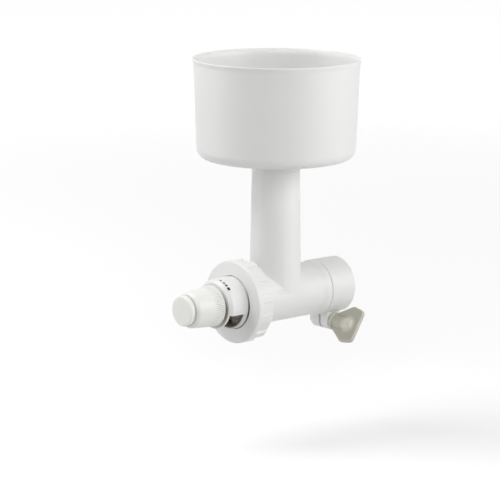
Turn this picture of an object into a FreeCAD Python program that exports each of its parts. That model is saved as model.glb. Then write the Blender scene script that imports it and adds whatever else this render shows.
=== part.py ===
"""Grain mill attachment in white moulded plastic, carried and turned by a drive hub.

The barrel lies along Y. The origin is the centre of the clamp bore at the sleeve's rear face.
+Y runs back towards the drive hub, -Y forward to the adjusting knob and +Z up to the hopper.
All sizes are millimetres. Distances along the barrel are counted forward from the rear face.
"""
import FreeCAD, Part
import math
import os
import re
import Sketcher

SIZES = [
    # Barrel, shoulder and rear end
    ("barrel_radius", 22.9),
    ("barrel_bore", 19.2),
    ("sleeve_radius", 24.5),
    ("sleeve_length", 27.0),
    ("seam_chamfer", 0.35),
    ("shoulder_land", 3.4),
    ("shoulder_ramp", 6.3),
    ("spigot_radius", 21.6),
    ("spigot_bore", 16.0),
    ("hub_bore", 21.0),
    ("hub_depth", 15.0),
    ("bulkhead_front", 36.0),
    ("bulkhead_rear", 27.0),
    # Feed tube
    ("tube_offset", 73.06),
    ("tube_radius_base", 22.55),
    ("tube_radius_top", 20.72),
    ("tube_bore_base", 17.4),
    ("tube_bore_top", 18.0),
    ("tube_top", 118.0),
    ("tube_lip_height", 8.6),
    ("tube_lip", 0.35),
    ("edge_round", 0.6),
    # Threaded mouth under the locking ring
    ("mouth_rear", 106.3),
    ("mouth_front", 115.3),
    ("mouth_radius", 29.5),
    ("mouth_bore", 24.6),
    ("mouth_floor", 107.1),
    ("key_width", 6.0),
    ("key_length", 3.0),
    ("key_play", 0.3),
    # Clamp ears and wing screw
    ("clamp_axis_depth", 12.0),
    ("clamp_axis_drop", 31.0),
    ("ear_radius", 7.8),
    ("ear_left", 11.8),
    ("ear_right", 9.9),
    ("clamp_gap", 2.4),
    ("stud_radius", 2.95),
    ("stud_hole", 3.3),
    ("stud_left", 17.6),
    ("stud_right", 25.0),
    ("nut_thickness", 3.4),
    ("nut_width", 10.4),
    ("washer_radius", 7.2),
    ("washer_thickness", 1.0),
    ("washer_play", 0.05),
    ("flange_radius", 8.0),
    ("flange_end", 13.4),
    ("wing_hub_radius", 6.2),
    ("wing_hub_tip", 5.0),
    ("wing_hub_end", 34.5),
    ("wing_widest", 28.0),
    ("wing_reach", 17.0),
    ("wing_corner", 38.9),
    ("wing_corner_reach", 15.2),
    ("wing_end", 41.3),
    ("wing_end_reach", 12.8),
    ("wing_thickness", 3.8),
    ("wing_corner_round", 1.6),
    ("wing_turn", 31.6),
    # Hopper
    ("hopper_rim_radius", 72.5),
    ("hopper_rim_height", 206.1),
    ("hopper_lip_drop", 3.2),
    ("hopper_top_radius", 70.4),
    ("hopper_low_radius", 68.2),
    ("hopper_corner", 13.0),
    ("hopper_bottom_rise", 2.0),
    ("hopper_wall", 2.2),
    ("hopper_neck", 22.0),
    ("hopper_spigot_radius", 17.3),
    ("hopper_spigot_bore", 15.2),
    ("hopper_spigot_length", 20.0),
    # Locking ring
    ("ring_front", 122.85),
    ("ring_rear", 105.0),
    ("ring_radius", 35.7),
    ("ring_base", 34.0),
    ("ring_flange", 5.15),
    ("ring_lug_end", 106.0),
    ("ring_lugs", 12),
    ("ring_gap_angle", 18.0),
    ("ring_clocking", 27.5),
    ("ring_bore", 29.9),
    ("ring_lip", 3.5),
    ("ring_hole", 22.9),
    ("ring_edge", 0.9),
    # Outlet collar
    ("collar_radius", 22.55),
    ("collar_bore", 20.0),
    ("collar_flange", 28.3),
    ("collar_flange_front", 119.3),
    ("collar_shoulder", 141.0),
    ("collar_front", 143.7),
    ("collar_nose", 19.6),
    ("collar_web", 141.2),
    ("seat_play", 0.05),
    ("window_rear", 127.5),
    ("web_radius", 19.9),
    ("window_angle", 148.0),
    ("neck_radius", 11.7),
    ("neck_front", 153.0),
    ("neck_bore", 4.6),
    # Burrs
    ("burr_radius", 24.3),
    ("burr_front", 117.3),
    ("burr_rear", 107.35),
    ("burr_front_radius", 19.4),
    ("burr_slope", 0.5),
    ("burr_gap", 0.5),
    ("burr_teeth", 24),
    ("cone_front", 118.5),
    ("cone_rim", 1.0),
    ("cone_rear", 102.5),
    ("cone_teeth", 18),
    ("cone_boss_radius", 9.0),
    ("cone_boss_front", 124.0),
    ("tooth_depth", 1.5),
    ("tooth_half_width", 1.35),
    ("tooth_overcut", 0.8),
    ("tooth_skew", 14.0),
    ("furrow_overrun", 0.5),
    ("ball_radius", 3.0),
    ("ball_centre", 124.6),
    ("ball_pocket", 3.4),
    ("ball_pocket_floor", 121.5),
    # Feed screw and drive shaft
    ("screw_radius", 18.6),
    ("screw_core", 8.6),
    ("screw_front", 99.5),
    ("screw_rear", 39.2),
    ("screw_pitch", 21.0),
    ("flight_root", 4.6),
    ("flight_rim", 2.6),
    ("flight_sink", 1.0),
    ("shaft_square", 9.0),
    ("square_play", 0.25),
    ("shaft_front", 116.0),
    ("cone_socket_floor", 119.0),
    ("journal_radius", 9.0),
    ("journal_front", 39.0),
    ("journal_rear", 17.0),
    ("drive_socket", 10.0),
    ("drive_socket_floor", 27.0),
    ("bush_radius", 12.0),
    ("bush_bore", 9.05),
    ("bush_flange", 15.5),
    ("bush_flange_thickness", 1.5),
    ("thrust_washer_thickness", 1.2),
    ("clip_front", 26.4),
    ("clip_rear", 25.2),
    ("clip_groove", 8.4),
    ("clip_radius", 11.2),
    ("clip_opening", 9.0),
    # Knob, cap and thrust spindle
    ("knob_rear", 144.2),
    ("knob_rear_radius", 17.75),
    ("knob_front", 173.4),
    ("knob_front_radius", 15.5),
    ("knob_shoulder", 4.0),
    ("knob_thread", 12.0),
    ("knob_floor", 169.6),
    ("knob_relief_inner", 13.6),
    ("knob_relief_outer", 15.7),
    ("knob_relief_front", 156.0),
    ("knob_relief_draft", 1.0),
    ("cap_seat", 8.8),
    ("cap_radius", 13.1),
    ("cap_rear", 173.85),
    ("cap_front", 178.7),
    ("cap_round", 1.6),
    ("spindle_radius", 4.5),
    ("spindle_body", 10.5),
    ("spindle_body_front", 138.0),
    ("spindle_body_rear", 126.2),
    ("spindle_tip", 125.2),
    ("spindle_head", 9.6),
    ("spindle_head_rear", 167.0),
    ("coil_radius", 8.2),
    ("coil_wire", 0.7),
    ("coil_turns", 5),
    ("coil_play", 0.1),
]
NAMES = {name for name, _ in SIZES}
VECTOR = FreeCAD.Vector
OVERSHOOT = 2.0
TOLERANCE = 1e-3

doc = FreeCAD.newDocument("grain_mill")
sheet = doc.addObject("Spreadsheet::Sheet", "sizes")
for row, (name, number) in enumerate(SIZES, 1):
    sheet.set(f"A{row}", name)
    sheet.set(f"B{row}", str(number))
    sheet.setAlias(f"B{row}", name)
doc.recompute()


def size(text):
    """Number that an expression of sheet names comes to."""
    return float(sheet.evalExpression(text))


def bound(text):
    """Expression that ties a property to the sheet's cells."""
    return re.sub(r"[a-z_]+", lambda word: f"sizes.{word[0]}" if word[0] in NAMES else word[0], text)


def sub_part(label):
    """Empty body that becomes the piece of that name."""
    body = doc.addObject("PartDesign::Body", label)
    body.Label = label
    return body


def datum(body, role):
    """Origin plane or axis of the body's own frame."""
    return next(item for item in body.Origin.OriginFeatures if item.Role == role)


def sketch_on(body, name, plane, shift=None, spin=0.0):
    """Empty sketch on an origin plane, moved by sheet expressions along the sketch's own axes."""
    sketch = body.newObject("Sketcher::SketchObject", name)
    sketch.AttachmentSupport = [(datum(body, plane), "")]
    sketch.MapMode = "FlatFace"
    turn = FreeCAD.Rotation(VECTOR(0, 0, 1), spin)
    sketch.AttachmentOffset = FreeCAD.Placement(VECTOR(0, 0, 0), turn)
    for axis, text in (shift or {}).items():
        sketch.setExpression(f"AttachmentOffset.Base.{axis}", bound(text))
    return sketch


def pin(sketch, geometry, point, across, along):
    """Hold one point of a sketch at two sheet expressions from the sketch's origin."""
    for axis, text in (("X", across), ("Y", along)):
        rule = Sketcher.Constraint("Distance" + axis, -1, 1, geometry, point, size(text))
        index = sketch.addConstraint(rule)
        sketch.setExpression(f"Constraints[{index}]", bound(text))


def outline(body, name, plane, corners, shift=None, spin=0.0):
    """Closed outline of straight edges whose corners follow the sheet."""
    sketch = sketch_on(body, name, plane, shift, spin)
    places = [VECTOR(size(across), size(along), 0) for across, along in corners]
    count = len(places)
    for start, end in zip(places, places[1:] + places[:1]):
        sketch.addGeometry(Part.LineSegment(start, end))
    for edge in range(count):
        sketch.addConstraint(Sketcher.Constraint("Coincident", edge, 2, (edge + 1) % count, 1))
    for edge, (across, along) in enumerate(corners):
        pin(sketch, edge, 1, across, along)
    doc.recompute()
    return sketch


def circle(body, name, plane, across, along, radius, shift=None):
    """Round outline whose centre and radius follow the sheet."""
    sketch = sketch_on(body, name, plane, shift)
    centre = VECTOR(size(across), size(along), 0)
    sketch.addGeometry(Part.Circle(centre, VECTOR(0, 0, 1), size(radius)))
    pin(sketch, 0, 3, across, along)
    index = sketch.addConstraint(Sketcher.Constraint("Radius", 0, size(radius)))
    sketch.setExpression(f"Constraints[{index}]", bound(radius))
    doc.recompute()
    return sketch


def finish(body, feature):
    """Make the feature the body's result and see that it added or cut something."""
    base = feature.BaseFeature
    before = base.Shape.Volume if base else 0.0
    body.Tip = feature
    doc.recompute()
    if "Invalid" in feature.State or abs(feature.Shape.Volume - before) < TOLERANCE:
        raise RuntimeError(f"{body.Label}: {feature.Name} does nothing")
    return feature


def revolve(body, kind, sketch, axis="V_Axis", angle="360", symmetric=False):
    """Revolution or Groove of a sketch about one of its own axes."""
    feature = body.newObject(f"PartDesign::{kind}", f"{sketch.Name}_{kind}")
    feature.Profile = sketch
    feature.ReferenceAxis = (sketch, [axis])
    feature.setExpression("Angle", bound(angle))
    feature.Midplane = symmetric
    return finish(body, feature)


def extrude(body, kind, sketch, length, backwards=False, symmetric=False):
    """Pad or Pocket of a sketch along its normal."""
    feature = body.newObject(f"PartDesign::{kind}", f"{sketch.Name}_{kind}")
    feature.Profile = sketch
    feature.setExpression("Length", bound(length))
    feature.Reversed = backwards
    feature.SideType = "Symmetric" if symmetric else "One side"
    return finish(body, feature)


def around(body, feature, axis, count):
    """Repeat a feature evenly round an axis of the body."""
    pattern = body.newObject("PartDesign::PolarPattern", f"{feature.Name}_round")
    pattern.Originals = [feature]
    pattern.Axis = (datum(body, axis), [""])
    pattern.Angle = 360
    pattern.setExpression("Occurrences", bound(count))
    return finish(body, pattern)


def circle_edges(body, radius, axis, place):
    """Names of the round edges with that radius at that place along an axis."""
    wanted = size(radius)
    level = size(place)
    names = []
    for number, edge in enumerate(body.Tip.Shape.Edges, 1):
        curve = edge.Curve
        if isinstance(curve, Part.Circle) and abs(curve.Radius - wanted) < TOLERANCE:
            if abs(getattr(curve.Center, axis) - level) < TOLERANCE:
                names.append(f"Edge{number}")
    return names


def soften(body, kind, edges, amount, name):
    """Fillet or Chamfer on named edges of the body's last feature."""
    if not edges:
        raise RuntimeError(f"{body.Label}: {name} finds no edge")
    base = body.Tip
    feature = body.newObject(f"PartDesign::{kind}", name)
    feature.Base = (base, edges)
    feature.setExpression("Radius" if kind == "Fillet" else "Size", bound(amount))
    return finish(body, feature)


def turned(label, corners, axis="V_Axis", plane="XY_Plane"):
    """Body of revolution from one profile of radius and place along the axis."""
    body = sub_part(label)
    revolve(body, "Revolution", outline(body, f"{label}_profile", plane, corners), axis)
    return body


def square_corners(width):
    """Corners of a square centred on the sketch's origin."""
    half = f"({width}) / 2"
    return [(half, half), (f"-{half}", half), (f"-{half}", f"-{half}"), (half, f"-{half}")]


def hexagon_corners(width):
    """Corners of a regular hexagon, measured across its flats along the first axis."""
    half = f"({width}) / 2"
    tip = f"({width}) / sqrt(3)"
    return [(half, f"{tip} / 2"), ("0", tip), (f"-{half}", f"{tip} / 2"),
            (f"-{half}", f"-{tip} / 2"), ("0", f"-{tip}"), (half, f"-{tip} / 2")]


def make_mill_housing():
    """T-shaped body: barrel with a rear spigot and a threaded mouth, and the upright feed tube."""
    seam = "sleeve_length + seam_chamfer"
    body = turned("mill_housing", [
        ("0", "-hub_depth"),
        ("spigot_radius", "-hub_depth"),
        ("spigot_radius", "-sleeve_length"),
        ("sleeve_radius - seam_chamfer", "-sleeve_length"),
        ("sleeve_radius", f"-({seam})"),
        ("sleeve_radius", "-(sleeve_length + shoulder_land)"),
        ("barrel_radius", "-(sleeve_length + shoulder_land + shoulder_ramp)"),
        ("barrel_radius", "-mouth_rear"),
        ("mouth_radius", "-mouth_rear"),
        ("mouth_radius", "-mouth_front"),
        ("0", "-mouth_front"),
    ])
    at_tube = {"x": "-tube_offset"}
    tube = outline(body, "feed_tube", "YZ_Plane", [
        ("0", "0"),
        ("tube_radius_base", "0"),
        ("tube_radius_top", "tube_top - tube_lip_height"),
        ("tube_radius_top + tube_lip", "tube_top - tube_lip_height + tube_lip"),
        ("tube_radius_top + tube_lip", "tube_top"),
        ("0", "tube_top"),
    ], at_tube)
    revolve(body, "Revolution", tube)
    chamber = outline(body, "screw_chamber", "XY_Plane", [
        ("0", "-bulkhead_front"),
        ("barrel_bore", "-bulkhead_front"),
        ("barrel_bore", "-mouth_floor"),
        ("mouth_bore", "-mouth_floor"),
        ("mouth_bore", f"-(mouth_front + {OVERSHOOT})"),
        ("0", f"-(mouth_front + {OVERSHOOT})"),
    ])
    revolve(body, "Groove", chamber)
    rear = outline(body, "rear_bore", "XY_Plane", [
        ("0", f"-(bulkhead_front + {OVERSHOOT})"),
        ("bush_radius", f"-(bulkhead_front + {OVERSHOOT})"),
        ("bush_radius", "-bulkhead_rear"),
        ("spigot_bore", "-bulkhead_rear"),
        ("spigot_bore", f"-(hub_depth - {OVERSHOOT})"),
        ("0", f"-(hub_depth - {OVERSHOOT})"),
    ])
    revolve(body, "Groove", rear)
    throat = outline(body, "throat", "YZ_Plane", [
        ("0", "0"),
        ("tube_bore_base", "0"),
        ("tube_bore_top", f"tube_top + {OVERSHOOT}"),
        ("0", f"tube_top + {OVERSHOOT}"),
    ], at_tube)
    revolve(body, "Groove", throat)
    half = "(key_width / 2 + key_play)"
    reach = f"(mouth_radius + {OVERSHOOT})"
    notch = outline(body, "key_notches", "XZ_Plane", [
        (reach, half), (f"-{reach}", half), (f"-{reach}", f"-{half}"), (reach, f"-{half}"),
    ], {"z": "mouth_front"})
    extrude(body, "Pocket", notch, "key_length + key_play")
    soften(body, "Fillet", circle_edges(body, "tube_radius_top + tube_lip", "z", "tube_top"),
           "edge_round", "tube_rim_round")
    return body


def make_clamp_sleeve():
    """Split sleeve that grips the housing's spigot in front and the drive hub behind, with two ears."""
    body = turned("clamp_sleeve", [
        ("0", "0"),
        ("sleeve_radius - edge_round", "0"),
        ("sleeve_radius", "-edge_round"),
        ("sleeve_radius", "-(sleeve_length - 2 * seam_chamfer)"),
        ("sleeve_radius - seam_chamfer", "-(sleeve_length - seam_chamfer)"),
        ("0", "-(sleeve_length - seam_chamfer)"),
    ])
    ears = sketch_on(body, "ears", "YZ_Plane", {"z": "-ear_left"})
    centre = VECTOR(-size("clamp_axis_depth"), -size("clamp_axis_drop"), 0)
    radius = size("ear_radius")
    left = centre - VECTOR(radius, 0, 0)
    right = centre + VECTOR(radius, 0, 0)
    rise = VECTOR(0, size("clamp_axis_drop - hub_bore / 2"), 0)
    ears.addGeometry(Part.LineSegment(right, right + rise))
    ears.addGeometry(Part.LineSegment(right + rise, left + rise))
    ears.addGeometry(Part.LineSegment(left + rise, left))
    ears.addGeometry(Part.ArcOfCircle(Part.Circle(centre, VECTOR(0, 0, 1), radius), math.pi, 2 * math.pi))
    for first, second in ((0, 1), (1, 2)):
        ears.addConstraint(Sketcher.Constraint("Coincident", first, 2, second, 1))
    ears.addConstraint(Sketcher.Constraint("Tangent", 2, 2, 3, 1))
    ears.addConstraint(Sketcher.Constraint("Tangent", 3, 2, 0, 1))
    ears.addConstraint(Sketcher.Constraint("Horizontal", 1))
    pin(ears, 3, 3, "-clamp_axis_depth", "-clamp_axis_drop")
    round_rule = ears.addConstraint(Sketcher.Constraint("Radius", 3, radius))
    ears.setExpression(f"Constraints[{round_rule}]", bound("ear_radius"))
    ears.addConstraint(Sketcher.Constraint("Vertical", 0))
    top_rule = ears.addConstraint(Sketcher.Constraint("DistanceY", -1, 1, 1, 1, -size("hub_bore / 2")))
    ears.setExpression(f"Constraints[{top_rule}]", bound("-hub_bore / 2"))
    doc.recompute()
    extrude(body, "Pad", ears, "ear_left + ear_right")
    bore = outline(body, "grip_bore", "XY_Plane", [
        ("0", f"{OVERSHOOT}"),
        ("hub_bore", f"{OVERSHOOT}"),
        ("hub_bore", "-hub_depth"),
        ("spigot_radius", "-hub_depth"),
        ("spigot_radius", f"-(sleeve_length + {OVERSHOOT})"),
        ("0", f"-(sleeve_length + {OVERSHOOT})"),
    ])
    revolve(body, "Groove", bore)
    low = "-(clamp_axis_drop + 2 * ear_radius)"
    slit = outline(body, "slit", "XZ_Plane", [
        ("clamp_gap / 2", "-hub_bore / 2"), ("-clamp_gap / 2", "-hub_bore / 2"),
        ("-clamp_gap / 2", low), ("clamp_gap / 2", low),
    ])
    extrude(body, "Pocket", slit, f"2 * sleeve_length + {OVERSHOOT}", symmetric=True)
    hole = circle(body, "stud_way", "YZ_Plane", "-clamp_axis_depth", "-clamp_axis_drop", "stud_hole")
    extrude(body, "Pocket", hole, "4 * ear_left", symmetric=True)
    return body


def make_rear_bush():
    """Flanged plain bearing pressed into the bulkhead."""
    face = "(bulkhead_front + bush_flange_thickness)"
    return turned("rear_bush", [
        ("bush_bore", "-bulkhead_rear"),
        ("bush_radius", "-bulkhead_rear"),
        ("bush_radius", "-bulkhead_front"),
        ("bush_flange", "-bulkhead_front"),
        ("bush_flange", f"-{face}"),
        ("bush_bore", f"-{face}"),
    ])


def make_thrust_washer():
    """Washer that takes the screw's push against the bush."""
    rear = "(bulkhead_front + bush_flange_thickness + seat_play)"
    front = f"({rear} + thrust_washer_thickness)"
    return turned("thrust_washer", [
        ("journal_radius", f"-{rear}"),
        ("bush_flange", f"-{rear}"),
        ("bush_flange", f"-{front}"),
        ("journal_radius", f"-{front}"),
    ])


def make_shaft_clip():
    """Open retaining ring in the journal's groove behind the bulkhead."""
    body = turned("shaft_clip", [
        ("clip_groove", "-clip_rear"),
        ("clip_radius", "-clip_rear"),
        ("clip_radius", "-clip_front"),
        ("clip_groove", "-clip_front"),
    ])
    half = "clip_opening / 2"
    mouth = outline(body, "clip_mouth", "XZ_Plane", [
        (half, "0"), (half, "2 * clip_radius"), (f"-{half}", "2 * clip_radius"), (f"-{half}", "0"),
    ])
    extrude(body, "Pocket", mouth, "4 * clip_front", symmetric=True)
    return body


def make_drive_shaft():
    """Steel shaft: round journal with a hexagon socket at the back, square drive to the front."""
    body = turned("drive_shaft", [
        ("0", "-journal_rear"),
        ("journal_radius - edge_round", "-journal_rear"),
        ("journal_radius", "-(journal_rear + edge_round)"),
        ("journal_radius", "-clip_rear"),
        ("clip_groove", "-clip_rear"),
        ("clip_groove", "-clip_front"),
        ("journal_radius", "-clip_front"),
        ("journal_radius", "-journal_front"),
        ("0", "-journal_front"),
    ])
    bar = outline(body, "square_bar", "XZ_Plane", square_corners("shaft_square"), {"z": "journal_front"})
    extrude(body, "Pad", bar, "shaft_front - journal_front")
    socket = outline(body, "hexagon_socket", "XZ_Plane", hexagon_corners("drive_socket"),
                     {"z": "journal_rear"})
    extrude(body, "Pocket", socket, "drive_socket_floor - journal_rear", backwards=True)
    return body


def make_feed_screw():
    """Screw that carries the grain forward: a core on the square bar with one helical flight."""
    body = turned("feed_screw", [
        ("0", "-screw_rear"),
        ("screw_core", "-screw_rear"),
        ("screw_core", "-screw_front"),
        ("0", "-screw_front"),
    ])
    slant = "(flight_root - flight_rim) / 2"
    flight = outline(body, "flight", "XY_Plane", [
        ("screw_core - flight_sink", "-screw_front"),
        ("screw_radius", f"-screw_front + {slant}"),
        ("screw_radius", f"-screw_front + {slant} + flight_rim"),
        ("screw_core - flight_sink", "-screw_front + flight_root"),
    ])
    helix = body.newObject("PartDesign::AdditiveHelix", "flight_helix")
    helix.Profile = flight
    helix.ReferenceAxis = (flight, ["V_Axis"])
    helix.Mode = "pitch-height-angle"
    helix.setExpression("Pitch", bound("screw_pitch"))
    helix.setExpression("Height", bound("screw_front - screw_rear - flight_root"))
    finish(body, helix)
    bore = outline(body, "bar_bore", "XZ_Plane", square_corners("shaft_square"))
    extrude(body, "Pocket", bore, "4 * screw_front", symmetric=True)
    return body


def tooth(body, name, radius, place, inwards, spin):
    """Three-cornered section of one furrow between burr teeth."""
    side = "-" if inwards else "+"
    other = "+" if inwards else "-"
    return outline(body, name, "XZ_Plane", [
        (f"{radius} {side} tooth_depth", "0"),
        (f"{radius} {other} tooth_overcut", "tooth_half_width"),
        (f"{radius} {other} tooth_overcut", "-tooth_half_width"),
    ], {"z": place}, spin)


def furrows(body, ends, inwards, count):
    """Skewed furrows cut from one end of a conical face to the other, all the way round."""
    (rear_radius, rear), (front_radius, front) = ends
    first = tooth(body, "furrow_rear", rear_radius, rear, inwards, 0.0)
    last = tooth(body, "furrow_front", front_radius, front, inwards, size("tooth_skew"))
    cut = body.newObject("PartDesign::SubtractiveLoft", f"{body.Name}_furrow")
    cut.Profile = first
    cut.Sections = [last]
    cut.Ruled = True
    finish(body, cut)
    around(body, cut, "Y_Axis", count)


def burr_radius_at(place):
    """Radius of the fixed burr's conical face at a distance along the barrel."""
    return f"(burr_front_radius + burr_slope * ({place} - burr_front))"


def make_grinding_ring():
    """Fixed steel burr: a ring whose conical inside widens to the front and carries teeth."""
    body = turned("grinding_ring", [
        (burr_radius_at("burr_rear"), "-burr_rear"),
        ("burr_radius", "-burr_rear"),
        ("burr_radius", "-burr_front"),
        ("burr_front_radius", "-burr_front"),
    ])
    rear = "(burr_rear - furrow_overrun)"
    front = "(burr_front + furrow_overrun)"
    furrows(body, [(burr_radius_at(rear), rear), (burr_radius_at(front), front)], False, "burr_teeth")
    return body


def make_grinding_cone():
    """Turning steel burr: a toothed cone that slides on the square bar."""
    body = turned("grinding_cone", [
        ("0", "-cone_rear"),
        (f"{burr_radius_at('cone_rear')} - burr_gap", "-cone_rear"),
        (f"{burr_radius_at('cone_front')} - burr_gap", "-cone_front"),
        (f"{burr_radius_at('cone_front')} - burr_gap", "-(cone_front + cone_rim)"),
        ("cone_boss_radius", "-(cone_front + cone_rim)"),
        ("cone_boss_radius", "-cone_boss_front"),
        ("ball_pocket", "-cone_boss_front"),
        ("ball_pocket", "-ball_pocket_floor"),
        ("0", "-ball_pocket_floor"),
    ])
    socket = outline(body, "square_socket", "XZ_Plane", square_corners("shaft_square + 2 * square_play"))
    extrude(body, "Pocket", socket, "cone_socket_floor", backwards=True)
    rear = "(cone_rear - furrow_overrun)"
    front = "(cone_front + cone_rim + furrow_overrun)"
    ends = [(f"{burr_radius_at(rear)} - burr_gap", rear), (f"{burr_radius_at(front)} - burr_gap", front)]
    furrows(body, ends, True, "cone_teeth")
    return body


def make_outlet_collar():
    """Collar held by the locking ring: flange with keys, flour window, web and threaded neck."""
    rear = "(mouth_front + seat_play)"
    body = turned("outlet_collar", [
        ("burr_radius", f"-{rear}"),
        ("collar_flange", f"-{rear}"),
        ("collar_flange", "-collar_flange_front"),
        ("collar_radius", "-collar_flange_front"),
        ("collar_radius", "-collar_shoulder"),
        ("collar_nose", "-collar_front"),
        ("neck_radius", "-collar_front"),
        ("neck_radius", "-neck_front"),
        ("neck_bore", "-neck_front"),
        ("neck_bore", "-collar_web"),
        ("collar_bore", "-collar_web"),
        ("collar_bore", "-burr_front"),
        ("burr_radius", "-burr_front"),
    ])
    window = outline(body, "flour_window", "YZ_Plane", [
        ("-window_rear", "-web_radius"),
        ("-window_rear", f"-(collar_radius + {OVERSHOOT})"),
        (f"-(collar_front + {OVERSHOOT})", f"-(collar_radius + {OVERSHOOT})"),
        (f"-(collar_front + {OVERSHOOT})", "-web_radius"),
    ])
    revolve(body, "Groove", window, "H_Axis", "window_angle", symmetric=True)
    half = "key_width / 2"
    inner = "(mouth_bore + key_play)"
    keys = [(inner, half), ("(collar_flange - key_play)", half),
            ("(collar_flange - key_play)", f"-{half}"), (inner, f"-{half}")]
    key = outline(body, "key", "XZ_Plane", keys, {"z": rear})
    around(body, extrude(body, "Pad", key, "key_length", backwards=True), "Y_Axis", "2")
    return body


def make_locking_ring():
    """Union ring with grip lugs that screws on the mouth and draws the collar's flange to it."""
    body = turned("locking_ring", [
        ("ring_bore", "-ring_rear"),
        ("ring_base", "-ring_rear"),
        ("ring_base", "-ring_lug_end"),
        ("ring_radius", "-ring_lug_end"),
        ("ring_radius", "-(ring_front - ring_edge)"),
        ("ring_radius - ring_edge", "-ring_front"),
        ("ring_hole", "-ring_front"),
        ("ring_hole", "-(ring_front - ring_lip)"),
        ("ring_bore", "-(ring_front - ring_lip)"),
    ])
    gap = outline(body, "lug_gap", "XY_Plane", [
        ("ring_base", f"-(ring_lug_end - {OVERSHOOT})"),
        (f"ring_radius + {OVERSHOOT}", f"-(ring_lug_end - {OVERSHOOT})"),
        (f"ring_radius + {OVERSHOOT}", "-(ring_front - ring_flange)"),
        ("ring_base", "-(ring_front - ring_flange)"),
    ])
    cut = revolve(body, "Groove", gap, "V_Axis", "ring_gap_angle", symmetric=True)
    around(body, cut, "Y_Axis", "ring_lugs")
    body.Placement.Rotation = FreeCAD.Rotation(VECTOR(0, -1, 0), size("ring_clocking"))
    body.setExpression("Placement.Rotation.Angle", bound("ring_clocking * 1 deg"))
    return body


def make_adjusting_knob():
    """Tapered hollow knob whose thread runs on the collar's neck."""
    body = turned("adjusting_knob", [
        ("knob_thread", "-knob_rear"),
        ("knob_relief_inner", "-knob_rear"),
        ("knob_relief_inner", "-knob_relief_front"),
        ("knob_relief_outer - knob_relief_draft", "-knob_relief_front"),
        ("knob_relief_outer", "-knob_rear"),
        ("knob_rear_radius - edge_round", "-knob_rear"),
        ("knob_rear_radius", "-(knob_rear + edge_round)"),
        ("knob_front_radius", "-knob_front"),
        ("cap_seat", "-knob_front"),
        ("cap_seat", "-knob_floor"),
        ("knob_thread", "-knob_floor"),
    ])
    soften(body, "Fillet", circle_edges(body, "knob_front_radius", "y", "-knob_front"),
           "knob_shoulder", "knob_shoulder_round")
    return body


def make_knob_cap():
    """Round nose cap with a plug that snaps into the knob."""
    body = turned("knob_cap", [
        ("0", "-(knob_floor + seat_play)"),
        ("cap_seat", "-(knob_floor + seat_play)"),
        ("cap_seat", "-cap_rear"),
        ("cap_radius", "-cap_rear"),
        ("cap_radius", "-cap_front"),
        ("0", "-cap_front"),
    ])
    soften(body, "Fillet", circle_edges(body, "cap_radius", "y", "-cap_front"), "cap_round", "cap_edge_round")
    return body


def make_thrust_spindle():
    """Steel spindle that the knob pushes: a thick body in the collar, a stem and a head in the knob."""
    body = turned("thrust_spindle", [
        ("0", "-spindle_tip"),
        ("spindle_radius", "-spindle_tip"),
        ("spindle_body", "-spindle_body_rear"),
        ("spindle_body", "-spindle_body_front"),
        ("spindle_radius", "-spindle_body_front"),
        ("spindle_radius", "-spindle_head_rear"),
        ("spindle_head", "-spindle_head_rear"),
        ("spindle_head", "-knob_floor"),
        ("0", "-knob_floor"),
    ])
    cup = sketch_on(body, "ball_cup", "XY_Plane")
    centre = VECTOR(0, -size("ball_centre"), 0)
    ball = Part.Circle(centre, VECTOR(0, 0, 1), size("ball_radius"))
    top = centre + VECTOR(0, size("ball_radius"), 0)
    bottom = centre - VECTOR(0, size("ball_radius"), 0)
    cup.addGeometry(Part.ArcOfCircle(ball, -math.pi / 2, math.pi / 2))
    cup.addGeometry(Part.LineSegment(top, bottom))
    cup.addConstraint(Sketcher.Constraint("Coincident", 0, 2, 1, 1))
    cup.addConstraint(Sketcher.Constraint("Coincident", 1, 2, 0, 1))
    cup.addConstraint(Sketcher.Constraint("Vertical", 1))
    pin(cup, 0, 3, "0", "-ball_centre")
    rule = cup.addConstraint(Sketcher.Constraint("Radius", 0, size("ball_radius")))
    cup.setExpression(f"Constraints[{rule}]", bound("ball_radius"))
    cup.addConstraint(Sketcher.Constraint("PointOnObject", 0, 3, 1))
    doc.recompute()
    revolve(body, "Groove", cup)
    return body


def make_thrust_ball():
    """Steel ball between the spindle and the turning cone."""
    ball = doc.addObject("Part::Sphere", "thrust_ball")
    ball.setExpression("Radius", bound("ball_radius"))
    ball.setExpression("Placement.Base.y", bound("-ball_centre"))
    return ball


def quarter_biarc(start, start_way, end, end_way):
    """Two tangent arcs that join two points of a coil along its own direction."""
    chord = end - start
    ways = start_way + end_way
    spread = 2 * (1 - start_way.dot(end_way))
    lean = chord.dot(ways)
    reach = (math.sqrt(lean * lean + spread * chord.dot(chord)) - lean) / spread
    first_corner = start + start_way * reach
    last_corner = end - end_way * reach
    joint = (first_corner + last_corner) * 0.5
    edges = []
    for one, corner, other in ((start, first_corner, joint), (joint, last_corner, end)):
        middle = (one + other) * 0.5
        half = (other - one).Length / 2
        rise = corner - middle
        turn = math.atan2(rise.Length, half)
        peak = middle + rise * (half * math.tan(turn / 2) / rise.Length)
        edges.append(Part.Arc(one, peak, other).toShape())
    return edges


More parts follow.
